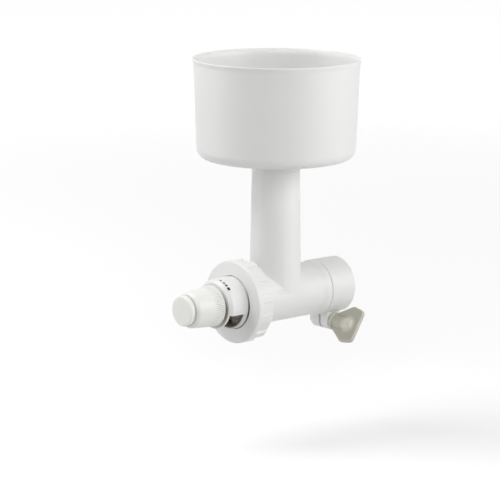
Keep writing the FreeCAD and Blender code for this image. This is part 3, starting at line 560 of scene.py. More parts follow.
def hopper_plastic(colours):
    """Thin white polypropylene of the hopper: smoother, and the wall lets some light through."""
    return moulded_plastic("thin_polypropylene_gloss_white", colours.hopper,
                           grain=1.2, gloss=0.32, depth=0.003, glow=0.8)


def knob_plastic(colours):
    """White acetal of the knob: a little warmer and harder in its shine, with flour dust and painted shade in
    the grooves and at the seam by the cap.
    """
    return moulded_plastic("moulded_acetal_warm_white", colours.knob,
                           grain=0.7, gloss=0.33, depth=0.01, glow=0.4, soil=colours.flour)


def screw_plastic(colours):
    """White acetal of the feed screw: dull from wear by the grain."""
    return moulded_plastic("worn_acetal_white", colours.screw,
                           grain=0.9, gloss=0.48, depth=0.03, glow=0.08)


def wing_nylon(colours):
    """Undyed nylon: greyish ivory, with a painted glow that brightens the thick end of the hub."""
    finish = moulded_plastic("moulded_nylon_undyed", colours.nylon,
                             grain=0.9, gloss=0.34, depth=0.02, glow=0.35)
    tree = finish.node_tree
    surface = next(node for node in tree.nodes if node.type == "BSDF_PRINCIPLED")
    tone = surface.inputs["Base Color"].links[0].from_socket
    place = add_node(tree, "TexCoord").outputs["Object"]
    # Painted glow: the colour brightens towards the end of the hub.
    away = add_node(tree, "VectorMath", {
        0: place, 1: (HUB_PAINTED_GLOW_PLACE, CLAMP_AXIS.y, CLAMP_AXIS.z)}, operation="DISTANCE")
    lit = add_node(tree, "MapRange", {
        "Value": away, "From Min": HUB_PAINTED_GLOW_EDGE, "From Max": HUB_PAINTED_GLOW_CORE},
        interpolation_type="SMOOTHSTEP")
    tone = add_node(tree, "Mix", {0: lit, 6: tone, 7: shade(colours.nylon, HUB_PAINTED_GLOW_SHADE)}, data_type="RGBA")
    tree.links.new(tone.outputs[2], surface.inputs["Base Color"])
    return finish


def dusted_and_shaded_plastic(colours):
    """Satin white polypropylene of the collar, with flour that warms its inside, and painted shade, partly
    dirt, in its window and its crevices.
    """
    finish, tree, place = blank_material("moulded_polypropylene_floured")
    parts = add_node(tree, "SeparateXYZ", {"Vector": place})
    across = add_node(tree, "CombineXYZ", {"X": parts.outputs["X"], "Z": parts.outputs["Z"]})
    radius = add_node(tree, "VectorMath", {0: across}, operation="LENGTH")
    inside = add_node(tree, "MapRange", {
        "Value": radius, "From Min": FLOUR_START, "From Max": FLOUR_FULL,
        "To Min": 0.0, "To Max": 0.85})
    clumps = add_node(tree, "TexNoise", {
        "Vector": place, "Scale": per_metre(1.4), "Detail": 4.0, "Roughness": 0.65})
    behind_nose = add_node(tree, "Math", {0: parts.outputs["Y"], 1: NOSE_BACK}, operation="GREATER_THAN")
    dust = inside
    for factor in behind_nose, clumps, FLOUR_AMOUNT:
        dust = add_node(tree, "Math", {0: dust, 1: factor}, operation="MULTIPLY", use_clamp=True)
    tone = add_node(tree, "Mix", {
        0: dust, 6: shade(colours.housing, 1.0), 7: shade(colours.flour, FLOUR_SHADE)}, data_type="RGBA")
    # Painted shade, partly dirt: the bore and the window's walls in front of the window's rear edge are
    # darkened.
    bore = add_node(tree, "MapRange", {
        "Value": radius, "From Min": WINDOW_DIRT_AND_SHADE_START, "From Max": WINDOW_DIRT_AND_SHADE_FULL,
        "To Min": 0.0, "To Max": 0.9})
    window_wall = add_node(tree, "Math", {0: parts.outputs["Y"], 1: WINDOW_WALL}, operation="LESS_THAN")
    shadowed = bore
    for factor in behind_nose, window_wall:
        shadowed = add_node(tree, "Math", {0: shadowed, 1: factor}, operation="MULTIPLY")
    tone = add_node(tree, "Mix", {
        0: shadowed, 6: tone, 7: shade(colours.dirt_and_shade, WINDOW_DIRT_AND_SHADE_TONE)}, data_type="RGBA")
    # Painted shade with dirt in the crevice by the ring and with flour in the crevice by the knob, strongest
    # at mid-height of the collar and fading above and below.
    beside = add_node(tree, "Math", {0: parts.outputs["Z"], 1: CREVICE_HEIGHT}, operation="SUBTRACT")
    beside = add_node(tree, "Math", {0: beside}, operation="ABSOLUTE")
    settled_and_shaded = add_node(tree, "MapRange", {
        "Value": beside, "From Min": CREVICE_FAR, "From Max": CREVICE_NEAR,
        "To Min": 0.1, "To Max": 0.95})
    for (deep, clear), crevice_tint in ((RING_CREVICE, colours.dirt_and_shade), (NOSE_CREVICE, colours.flour)):
        packed_and_shaded = add_node(tree, "MapRange", {
            "Value": parts.outputs["Y"], "From Min": clear, "From Max": deep,
            "To Min": 0.0, "To Max": settled_and_shaded}, interpolation_type="SMOOTHSTEP")
        tone = add_node(tree, "Mix", {0: packed_and_shaded, 6: tone, 7: shade(crevice_tint, 1.0)}, data_type="RGBA")
    polish = add_node(tree, "MapRange", {"Value": dust, "To Min": 0.35, "To Max": 0.8})
    relief = add_node(tree, "Bump", {
        "Height": clumps.outputs["Fac"], "Strength": 0.2, "Distance": 0.02 * MM})
    surface = add_node(tree, "BsdfPrincipled", {
        "Base Color": tone, "Roughness": polish, "Normal": relief, "IOR": 1.49,
        "Subsurface Weight": 0.08, "Subsurface Radius": (1.0, 0.96, 0.9), "Subsurface Scale": 3 * MM})
    add_node(tree, "OutputMaterial", {"Surface": surface})
    return finish


def machined_metal(name, tint, pitch, depth, gloss, axis, stain, dust=None):
    """Turned or ground metal: fine tool lines, a faint cloud of oxide, and patches of dust if given."""
    found = bpy.data.materials.get(name)
    if found:
        return found
    finish, tree, place = blank_material(name)
    # Real tool lines are about 0.1 mm apart; they are drawn coarser, or they wouldn't show.
    lines = add_node(tree, "TexWave", {
        "Vector": place, "Scale": per_metre(pitch) / 20, "Distortion": 0.6, "Detail": 1.0,
        "Detail Scale": 2.0}, wave_type="BANDS", bands_direction=axis)
    cloud = add_node(tree, "TexNoise", {
        "Vector": place, "Scale": per_metre(5), "Detail": 3.0, "Roughness": 0.6})
    tone = add_node(tree, "Mix", {
        0: cloud.outputs["Fac"], 6: shade(tint, 1.0), 7: shade(tint, stain)}, data_type="RGBA")
    polish = add_node(tree, "MapRange", {
        "Value": cloud.outputs["Fac"], "From Min": 0.3, "From Max": 0.7,
        "To Min": gloss - 0.05, "To Max": gloss + 0.08})
    bare = 1.0
    if dust:
        caught = add_node(tree, "TexNoise", {
            "Vector": place, "Scale": per_metre(11), "Detail": 3.0, "Roughness": 0.6})
        bare = add_node(tree, "MapRange", {
            "Value": caught.outputs["Fac"], "From Min": 0.6, "From Max": 0.45})
        tone = add_node(tree, "Mix", {0: bare, 6: shade(dust, BURR_FLOUR_SHADE), 7: tone}, data_type="RGBA")
    relief = add_node(tree, "Bump", {
        "Height": lines.outputs["Fac"], "Strength": 0.3, "Distance": depth * MM})
    surface = add_node(tree, "BsdfPrincipled", {
        "Base Color": tone, "Metallic": bare, "Roughness": polish, "Normal": relief})
    add_node(tree, "OutputMaterial", {"Surface": surface})
    return finish


def turned_steel(colours):
    """Lathe-turned steel of the shaft and the spindle: grey with fine rings from the tool."""
    return machined_metal("turned_steel_grey", colours.steel,
                          pitch=0.35, depth=0.01, gloss=0.3, axis="Y", stain=0.82)


def burr_steel(colours):
    """Hardened and ground burr steel: dark and dull, with patches of flour that cling to it."""
    return machined_metal("ground_burr_steel", colours.burr,
                          pitch=0.5, depth=0.015, gloss=0.42, axis="X", stain=0.75, dust=colours.flour)


def spring_steel(colours):
    """Oiled spring wire: dark and smooth."""
    return machined_metal("oiled_spring_wire", colours.spring,
                          pitch=0.6, depth=0.004, gloss=0.28, axis="Y", stain=0.8)


def bright_plating(colours):
    """Bright nickel plating on the small clamp hardware: mirror-like with slight clouding."""
    return machined_metal("bright_nickel_plating", colours.plating,
                          pitch=0.4, depth=0.003, gloss=0.13, axis="X", stain=0.93)


def sintered_bronze(colours):
    """Sintered bronze of the bush: brown-gold, porous and oil-damp."""
    return machined_metal("sintered_bronze", colours.bronze,
                          pitch=0.6, depth=0.02, gloss=0.42, axis="Y", stain=0.7)


def printed_ink(colours):
    """Black pad-printing ink: thin, matt, with a slightly broken edge tone."""
    finish, tree, place = blank_material("pad_printing_ink_black")
    mottle = add_node(tree, "TexNoise", {"Vector": place, "Scale": per_metre(0.5), "Detail": 2.0})
    tone = add_node(tree, "Mix", {
        0: mottle.outputs["Fac"], 6: shade(colours.ink, 1.0), 7: shade(colours.ink, 2.2)}, data_type="RGBA")
    surface = add_node(tree, "BsdfPrincipled", {"Base Color": tone, "Roughness": 0.55, "IOR": 1.5})
    add_node(tree, "OutputMaterial", {"Surface": surface})
    return finish


def seen_rays(tree):
    """One for the rays that show the background itself, in view or in a mirror, and zero for its light."""
    rays = add_node(tree, "LightPath")
    seen = rays.outputs["Is Camera Ray"]
    for kind in "Is Glossy Ray", "Is Transmission Ray":
        seen = add_node(tree, "Math", {0: seen, 1: rays.outputs[kind]}, operation="MAXIMUM")
    return seen


class MILL_OT_hopper(bpy.types.Operator):
    """Model the round hopper with its flared rim, rounded bottom and spigot"""
    bl_idname = "mill.hopper"
    bl_label = "Hopper"

    def execute(self, context):
        s = context.scene.mill_hopper
        low = HOPPER_LOW.z
        seat = HOUSING_HIGH.z
        rim = s.rim_height - s.rim_drop
        corner = seat + s.bottom_rise
        floor = seat + s.wall
        piece = turned("hopper_bowl", "Z", [
            (s.spigot_bore, low),
            (s.spigot_radius, low),
            (s.spigot_radius, seat),
            (s.neck_radius, seat),
            (s.low_radius, corner),
            (s.top_radius, rim),
            (s.rim_radius, s.rim_height - s.lip),
            (s.rim_radius, s.rim_height),
            (s.rim_radius - s.lip, s.rim_height),
            (s.top_radius - s.top_wall, rim),
            (s.low_radius - s.wall, corner + s.wall),
            (s.neck_radius, floor),
            (s.spigot_bore, floor - s.wall / 2),
        ], closed=True)
        round_rims(piece, "Z", [
            (s.low_radius, corner, s.corner, 14),
            (s.low_radius - s.wall, corner + s.wall, s.corner - s.wall, 14),
            (s.top_radius, rim, BROAD_ROUND, 6),
            (s.top_radius - s.top_wall, rim, BROAD_ROUND, 6),
            (s.rim_radius, s.rim_height - s.lip, FINE_EDGE, 3),
            (s.rim_radius, s.rim_height, LIP_EDGE, 4),
            (s.rim_radius - s.lip, s.rim_height, LIP_EDGE, 4),
            (s.neck_radius, seat, SEAT_ROUND, 4),
            (s.neck_radius, floor, FLOOR_ROUND, 4),
            (s.spigot_bore, floor - s.wall / 2, FULL_EDGE, 4),
            (s.spigot_radius, low, SMALL_EDGE, 3),
            (s.spigot_bore, low, SMALL_EDGE, 3),
        ])
        hand_over(piece, "hopper", "hopper_white", hopper_plastic(context.scene.mill_colours), "hopper")
        return {"FINISHED"}


class MILL_OT_housing(bpy.types.Operator):
    """Model the housing: barrel with shoulder, spigot and threaded mouth, and the upright feed tube"""
    bl_idname = "mill.housing"
    bl_label = "Housing"

    def execute(self, context):
        s = context.scene.mill_barrel
        h = context.scene.mill_hopper
        land = s.sleeve_length + s.shoulder_land
        piece = turned("mill_body", "Y", [
            (s.spigot_radius, -s.hub_depth),
            (s.spigot_radius, -s.sleeve_length),
            (s.sleeve_radius - s.seam, -s.sleeve_length),
            (s.sleeve_radius, -(s.sleeve_length + s.seam)),
            (s.sleeve_radius, -land),
            (s.radius, -(land + s.shoulder_ramp)),
            (s.radius, -s.mouth_rear),
            (s.mouth_radius, -s.mouth_rear),
            (s.mouth_radius, -s.mouth_front),
        ])
        round_rims(piece, "Y", [
            (s.sleeve_radius, -land, BROAD_ROUND, 6),
            (s.radius, -(land + s.shoulder_ramp), BROAD_ROUND, 6),
            (s.mouth_radius, -s.mouth_rear, SMALL_EDGE, 3),
            (s.mouth_radius, -s.mouth_front, SMALL_EDGE, 3),
        ])
        top = HOUSING_HIGH.z
        lip = top - h.tube_lip_height
        combine(piece, turned("feed_tube", "Z", [
            (h.tube_base, 0),
            (h.tube_top, lip),
            (h.tube_top + h.tube_lip, lip + h.tube_lip),
            (h.tube_top + h.tube_lip, top),
        ]), "UNION")
        combine(piece, turned("screw_chamber", "Y", [
            (s.bore, -s.bulkhead_front),
            (s.bore, -s.mouth_floor),
            (s.mouth_bore, -s.mouth_floor),
            (s.mouth_bore, -(s.mouth_front + PAST)),
        ]), "DIFFERENCE")
        combine(piece, turned("rear_bore", "Y", [
            (s.bush_hole, -(s.bulkhead_front + PAST)),
            (s.bush_hole, -s.sleeve_length),
            (s.spigot_bore, -s.sleeve_length),
            (s.spigot_bore, -(s.hub_depth - PAST)),
        ]), "DIFFERENCE")
        combine(piece, turned("throat", "Z", [
            (h.tube_bore_base, 0),
            (h.tube_bore_top + (h.tube_bore_top - h.tube_bore_base) * PAST / top, top + PAST),
        ]), "DIFFERENCE")
        reopen(piece)
        round_rims(piece, "Z", [
            (h.tube_top + h.tube_lip, top, SOFT_EDGE, 4),
            (h.tube_bore_top, top, SOFT_EDGE, 4),
        ])
        finish = housing_plastic(context.scene.mill_colours)
        hand_over(piece, "housing", "housing_white", finish, "mill_housing")
        return {"FINISHED"}


class MILL_OT_clamp_sleeve(bpy.types.Operator):
    """Model the split sleeve that grips the drive hub, with its two ears"""
    bl_idname = "mill.clamp_sleeve"
    bl_label = "Clamp Sleeve"

    def execute(self, context):
        s = context.scene.mill_barrel
        front = -(s.sleeve_length - s.seam)
        piece = turned("grip_sleeve", "Y", [
            (s.sleeve_radius, 0),
            (s.sleeve_radius, front + s.seam),
            (s.sleeve_radius - s.seam, front),
        ])
        round_rims(piece, "Y", [(s.sleeve_radius, 0, SOFT_EDGE, 4)])
        deselect()
        bpy.ops.mesh.primitive_circle_add(
            vertices=ROUND_SIDES // 3, radius=s.ear_radius, fill_type="NGON", rotation=(0, math.pi / 2, 0),
            location=(NUT_HIGH.x, CLAMP_AXIS.y, CLAMP_AXIS.z))
        ears = start("clamp_ears")
        pick(ears, "verts", lambda corner: corner.co.z > CLAMP_AXIS.z + NEAR)
        bpy.ops.transform.translate(value=(0, 0, -CLAMP_AXIS.z - s.hub_bore / 2))
        bpy.ops.mesh.select_all(action="SELECT")
        bpy.ops.mesh.extrude_region_move(
            TRANSFORM_OT_translate={"value": (WASHER_LOW.x - SEAT_PLAY - NUT_HIGH.x, 0, 0)})
        tidy_mesh()
        soften_edges(ears, s.ear_round, 3)
        combine(piece, ears, "UNION")
        combine(piece, turned("grip_bore", "Y", [
            (s.hub_bore, PAST),
            (s.hub_bore, -s.hub_depth),
            (s.spigot_radius, -s.hub_depth),
            (s.spigot_radius, front - PAST),
        ]), "DIFFERENCE")
        deselect()
        low = SLEEVE_LOW.z - PAST
        high = -s.hub_bore / 2
        bpy.ops.mesh.primitive_cube_add(
            size=1, location=(0, front / 2, (low + high) / 2),
            scale=(s.clamp_gap, s.sleeve_length + 2 * PAST, high - low))
        combine(piece, start("slit"), "DIFFERENCE")
        combine(piece, turned("stud_way", "X", [
            (s.stud_hole, NUT_LOW.x),
            (s.stud_hole, WASHER_HIGH.x),
        ], sides=STUD_SIDES), "DIFFERENCE")
        reopen(piece)
        finish = housing_plastic(context.scene.mill_colours)
        hand_over(piece, "housing", "housing_white", finish, "clamp_sleeve")
        return {"FINISHED"}


class MILL_OT_locking_ring(bpy.types.Operator):
    """Model the union ring with its grip lugs"""
    bl_idname = "mill.locking_ring"
    bl_label = "Locking Ring"

    def execute(self, context):
        s = context.scene.mill_head
        front = RING_LOW.y
        rear = RING_HIGH.y
        step = front + s.ring_flange
        piece = turned("union_ring", "Y", [
            (s.ring_bore, rear),
            (s.ring_base, rear),
            (s.ring_base, -s.lug_end),
            (s.ring_base, step),
            (s.ring_radius, step),
            (s.ring_radius, front + s.ring_edge),
            (s.ring_radius - s.ring_edge, front),
            (s.ring_hole + s.hole_edge, front),
            (s.ring_hole, front + s.hole_edge),
            (s.ring_hole, front + s.ring_lip),
            (s.ring_bore, front + s.ring_lip),
        ], closed=True, sides=RING_SIDES)

        def in_lug(face):
            across = polar(face.calc_center_median(), "Y")[2] % s.lug_pitch
            return min(across, s.lug_pitch - across) > s.lug_gap / 2

        def lug_base(face):
            radius, place, _ = polar(face.calc_center_median(), "Y")
            outside = abs(radius - s.ring_base) < 5 * NEAR
            return outside and step < place < -s.lug_end and in_lug(face)

        def lug_end_wall(face):
            radius = polar(face.calc_center_median(), "Y")[0]
            level = all(abs(corner.co.y - step) < NEAR for corner in face.verts)
            return level and s.ring_base < radius < s.ring_radius and in_lug(face)

        pick(piece, "faces", lug_base)
        bpy.ops.mesh.extrude_region_move()
        spread("Y", s.ring_radius / s.ring_base, Vector((0, step, 0)))
        pick(piece, "faces", lug_end_wall)
        bpy.ops.mesh.delete(type="FACE")
        tidy_mesh()
        bpy.ops.transform.rotate(value=s.lug_clocking, orient_axis="Y", center_override=(0, step, 0))
        soften_edges(piece, LUG_EDGE, 3)
        hand_over(piece, "ring", "housing_white", housing_plastic(context.scene.mill_colours), "locking_ring")
        return {"FINISHED"}


class MILL_OT_outlet_collar(bpy.types.Operator):
    """Model the collar with its flour window and the printed fineness marks"""
    bl_idname = "mill.outlet_collar"
    bl_label = "Outlet Collar"

    def execute(self, context):
        s = context.scene.mill_head
        b = context.scene.mill_barrel
        seat = -(b.mouth_front + SEAT_PLAY)
        fall = (s.collar_radius - s.collar_bore) / (s.collar_radius - s.collar_nose)
        web_edge = -s.collar_shoulder + fall * (s.collar_shoulder - s.collar_front)
        corner = Vector((s.collar_radius, -s.collar_shoulder))
        nose = Vector((s.collar_nose, -s.collar_front))
        first = corner + Vector((0, s.nose_round))
        last = corner + (nose - corner).normalized() * s.nose_round
        rounding = []
        for step in range(NOSE_STEPS + 1):
            share = step / NOSE_STEPS
            rounding.append(first.lerp(corner, share).lerp(corner.lerp(last, share), share))
        piece = turned("flour_collar", "Y", [
            (s.burr_seat, seat),
            (s.collar_flange, seat),
            (s.collar_flange, -s.flange_front),
            (s.collar_radius, -s.flange_front),
            (s.collar_radius, -s.window_rear),
            *[tuple(point) for point in rounding],
            (s.collar_bore, web_edge),
            (s.collar_nose, -s.collar_front),
            (s.neck_radius, -s.collar_front),
            (s.neck_radius, COLLAR_LOW.y),
            (s.neck_bore, COLLAR_LOW.y),
            (s.neck_bore, -s.collar_web),
            (s.collar_bore, -s.collar_web),
            (s.collar_bore, -s.collar_web + PAST),
            (s.collar_bore, -s.window_rear),
            (s.collar_bore, -s.burr_front),
            (s.burr_seat, -s.burr_front),
        ], closed=True, sides=COLLAR_SIDES)

        def in_window(face):
            radius, place, turn = polar(face.calc_center_median(), "Y")
            away = abs(turn + math.pi / 2)
            wall = radius > s.collar_bore - 5 * NEAR
            return wall and web_edge < place < -s.window_rear and away < s.window_angle / 2

        pick(piece, "faces", in_window)
        bpy.ops.mesh.delete(type="FACE")
        pick_open_edges()
        bpy.ops.mesh.bridge_edge_loops()
        tidy_mesh()
        soften_edges(piece, FINE_EDGE, 2)
        hand_over(piece, "head", "housing_white", dusted_and_shaded_plastic(context.scene.mill_colours), "outlet_collar")

        ink = printed_ink(context.scene.mill_colours)
        for number, (around, half_round, half_along) in enumerate(MARKS, 1):
            turn = math.radians(around)
            deselect()
            bpy.ops.mesh.primitive_circle_add(
                vertices=MARK_SIDES, radius=1, fill_type="NGON", rotation=(0, math.pi / 2 - turn, 0),
                location=(s.collar_radius * math.cos(turn), MARK_PLACE, s.collar_radius * math.sin(turn)))
            context.object.scale = (half_round * MM, half_along * MM, MM)
            mark = start(f"fineness_mark_{number}")
            lift = Vector((math.cos(turn), 0, math.sin(turn)))
            bpy.ops.transform.translate(value=lift * -MARK_SINK)
            bpy.ops.mesh.extrude_region_move(TRANSFORM_OT_translate={"value": lift * MARK_THICKNESS})
            tidy_mesh()
            hand_over(mark, "head", "housing_white", ink)
        return {"FINISHED"}


class MILL_OT_adjusting_knob(bpy.types.Operator):
    """Model the tapered knob with its knurled band, and its nose cap"""
    bl_idname = "mill.adjusting_knob"
    bl_label = "Adjusting Knob"

    def execute(self, context):
        s = context.scene.mill_head
        rear = KNOB_HIGH.y
        front = KNOB_LOW.y
        first = rear - KNOB_EDGE

        def taper(place):
            share = (first - place) / (first - front)
            return s.knob_rear_radius + share * (s.knob_front_radius - s.knob_rear_radius)

        bands = [-s.knurl_rear, -s.knurl_rear - GROOVE_RUN, -s.knurl_middle, -s.knurl_front]
        sides = KNOB_RIBS * SIDES_PER_RIB
        piece = turned("grind_knob", "Y", [
            (s.knob_thread, rear),
            (s.relief_inner, rear),
            (s.relief_inner, -s.relief_front),
            (s.relief_outer - s.relief_draft, -s.relief_front),
            (s.relief_outer, rear),
            (s.knob_rear_radius - KNOB_EDGE, rear),
            (s.knob_rear_radius, first),
            *[(taper(place), place) for place in bands],
            (s.knob_front_radius, front),
            (s.cap_seat, front),
            (s.cap_seat, -s.knob_floor),
            (s.knob_thread, -s.knob_floor),
        ], closed=True, sides=sides)
        round_rims(piece, "Y", [
            (s.knob_front_radius, front, s.knob_shoulder, 8),
            (s.knob_rear_radius - KNOB_EDGE, rear, HAIR_EDGE, 2),
            (s.knob_rear_radius, first, HAIR_EDGE, 2),
        ])

        def groove_line(corner):
            radius, place, turn = polar(corner.co, "Y")
            column = round(turn / (2 * math.pi) * sides) % SIDES_PER_RIB
            in_band = front_row - NEAR < place < bands[1] + NEAR
            return column == 0 and in_band and radius > s.relief_outer + s.knurl_depth

        for front_row in bands[2], bands[1]:
            pick(piece, "verts", groove_line)
            spread("Y", 1 - s.knurl_depth / 2 / s.knob_rear_radius, Vector((0, front_row, 0)))
        front_row = bands[2]
        pick(piece, "verts", groove_line)
        # Flour dust and painted shade go into the groove lines and onto the knob's front edge next to the
        # cap.
        mesh = bmesh.from_edit_mesh(piece.data)
        soil = mesh.verts.layers.float.new("soil")
        for corner in mesh.verts:
            if corner.select:
                corner[soil] = KNURL_SOIL_AND_SHADE
            elif corner.co.y < front + CAP_SEAM:
                corner[soil] = CAP_SEAM_SOIL_AND_SHADE
        bmesh.update_edit_mesh(piece.data)
        finish = knob_plastic(context.scene.mill_colours)
        hand_over(piece, "knob", "knob_white", finish, "adjusting_knob")

        cap_radius = (CAP_HIGH.x - CAP_LOW.x) / 2
        cap = turned("nose_cap", "Y", [
            (s.cap_seat, CAP_HIGH.y),
            (s.cap_seat, -s.cap_rear),
            (cap_radius, -s.cap_rear),
            (cap_radius, CAP_LOW.y),
        ])
        round_rims(cap, "Y", [
            (cap_radius, CAP_LOW.y, s.cap_round, 6),
            (cap_radius, -s.cap_rear, FULL_EDGE, 3),
        ])
        hand_over(cap, "knob", "knob_white", finish, "knob_cap")
        return {"FINISHED"}


class MILL_OT_wing_screw(bpy.types.Operator):
    """Model the nylon wing head, its stud, washer and nut"""
    bl_idname = "mill.wing_screw"
    bl_label = "Wing Screw"

    def execute(self, context):
        s = context.scene.mill_clamp
        colours = context.scene.mill_colours
        inner = WING_LOW.x
        end = WING_HIGH.x
        deselect()
        root = s.flange_end - WING_ROOT
        bpy.ops.mesh.primitive_cube_add(
            size=1, location=((root + s.flange_end) / 2, CLAMP_AXIS.y, CLAMP_AXIS.z),
            scale=(s.flange_end - root, s.thickness, 2 * s.flange_radius))
        wing = start("wing_grip")
        place, half = s.flange_end, s.flange_radius
        for next_place, next_half in ((s.widest, s.reach), (s.corner, s.corner_reach), (end, s.end_reach)):
            outer = place
            pick(wing, "faces", lambda face: all(abs(corner.co.x - outer) < NEAR for corner in face.verts))
            bpy.ops.mesh.extrude_region_move(TRANSFORM_OT_translate={"value": (next_place - place, 0, 0)})
            bpy.ops.transform.resize(
                value=(1, 1, next_half / half), center_override=(next_place, CLAMP_AXIS.y, CLAMP_AXIS.z))
            place, half = next_place, next_half
        tidy_mesh()

        def outline_corner(edge):
            first, last = edge.verts
            across = abs(first.co.y - last.co.y) > s.thickness / 2
            return across and first.co.x > s.flange_end + NEAR

        pick(wing, "edges", outline_corner)
        bpy.ops.mesh.bevel(offset=s.corner_round, segments=5, affect="EDGES")
        soften_edges(wing, s.edge_round, 4)
        hub = turned("wing_hub", "X", [
            (s.flange_radius, inner),
            (s.flange_radius, s.flange_end),
            (s.hub_radius, s.flange_end),
            (s.hub_tip, s.hub_end),
        ], sides=ROUND_SIDES // 2)
        round_rims(hub, "X", [
            (s.flange_radius, inner, LIP_EDGE, 3),
            (s.flange_radius, s.flange_end, SOFT_EDGE, 3),
            (s.hub_tip, s.hub_end, TIP_ROUND, 5),
        ])
        combine(wing, hub, "UNION")
        reopen(wing)
        bpy.ops.transform.rotate(value=s.turn, orient_axis="X", center_override=CLAMP_AXIS)
        hand_over(wing, "wing", "wing_nylon", wing_nylon(colours), "wing_head")

        plating = bright_plating(colours)
        stud_radius = (STUD_HIGH.z - STUD_LOW.z) / 2
        threads = []
        place = STUD_LOW.x + STUD_CHAMFER
        while place < WASHER_LOW.x:
            threads += [(stud_radius, place), (stud_radius - s.thread_depth, place + s.thread_pitch / 2)]
            place += s.thread_pitch
        stud = turned("wing_stud", "X", [
            (stud_radius - STUD_CHAMFER, STUD_LOW.x),
            *threads,
            (stud_radius, place),
            (stud_radius, STUD_HIGH.x),
        ], sides=STUD_SIDES)
        hand_over(stud, "wing", "plated_steel", plating, "clamp_stud")

        way = context.scene.mill_barrel.stud_hole
        washer_radius = (WASHER_HIGH.z - WASHER_LOW.z) / 2
        washer = turned("ear_washer", "X", [
            (way, WASHER_LOW.x),
            (washer_radius, WASHER_LOW.x),
            (washer_radius, WASHER_HIGH.x),
            (way, WASHER_HIGH.x),
        ], closed=True, sides=ROUND_SIDES // 2)
        soften_edges(washer, THIN_EDGE, 2)
        hand_over(washer, "washer", "plated_steel", plating, "clamp_washer")

        tip = (NUT_HIGH.z - NUT_LOW.z) / 2
        flat = (NUT_HIGH.y - NUT_LOW.y) / 2
        nut = turned("ear_nut", "X", [
            (tip, NUT_LOW.x),
            (tip, NUT_HIGH.x),
        ], sides=HEX_SIDES)
        bpy.ops.transform.rotate(value=HEX_TURN, orient_axis="X", center_override=CLAMP_AXIS)
        combine(nut, turned("nut_crown", "X", [
            (flat, NUT_LOW.x),
            (tip + CROWN_PAST, NUT_LOW.x + NUT_CHAMFER),
            (tip + CROWN_PAST, NUT_HIGH.x - NUT_CHAMFER),
            (flat, NUT_HIGH.x),
        ]), "INTERSECT")
        combine(nut, turned("nut_hole", "X", [
            (way, NUT_LOW.x - PAST),
            (way, NUT_HIGH.x + PAST),
        ], sides=STUD_SIDES), "DIFFERENCE")
        hand_over(nut, "housing", "plated_steel", plating, "clamp_nut")
        return {"FINISHED"}


class MILL_OT_knob_spring(bpy.types.Operator):
    """Wind the compression spring in the knob"""
    bl_idname = "mill.knob_spring"
    bl_label = "Knob Spring"

    def execute(self, context):
        coil = (SPRING_HIGH.x - SPRING_LOW.x) / 2 - SPRING_WIRE
        rear = SPRING_HIGH.y - SPRING_WIRE
        front = SPRING_LOW.y + SPRING_WIRE
        deselect()
        bpy.ops.mesh.primitive_circle_add(
            vertices=WIRE_SIDES, radius=SPRING_WIRE, location=(coil, rear, 0))
        piece = start("coil_spring")
        modify(piece, "SCREW", axis="Y", steps=SPRING_STEPS, render_steps=SPRING_STEPS,
               iterations=SPRING_TURNS, screw_offset=(front - rear) / SPRING_TURNS)
        bpy.ops.object.mode_set(mode="EDIT")
        cap_open_ends()
        activate(piece)
        bpy.ops.object.shade_smooth_by_angle(angle=SMOOTH_ANGLE)
        piece.data.materials.append(spring_steel(context.scene.mill_colours))
        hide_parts("knob_spring")
        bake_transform(piece)
        return {"FINISHED"}


class MILL_OT_works(bpy.types.Operator):
    """Give the burrs, the feed screw, the shaft and the other inner pieces their finishes"""
    bl_idname = "mill.works"
    bl_label = "Inner Works"

    def execute(self, context):
        colours = context.scene.mill_colours
        finishes = {
            "drive_shaft": turned_steel(colours),
            "thrust_spindle": turned_steel(colours),
            "thrust_washer": turned_steel(colours),
            "thrust_ball": bright_plating(colours),
            "shaft_clip": spring_steel(colours),
            "feed_screw": screw_plastic(colours),
            "grinding_ring": burr_steel(colours),
            "grinding_cone": burr_steel(colours),
            "rear_bush": sintered_bronze(colours),
        }
        for name, finish in finishes.items():
            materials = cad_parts[name].data.materials
            materials.clear()
            materials.append(finish)
        return {"FINISHED"}


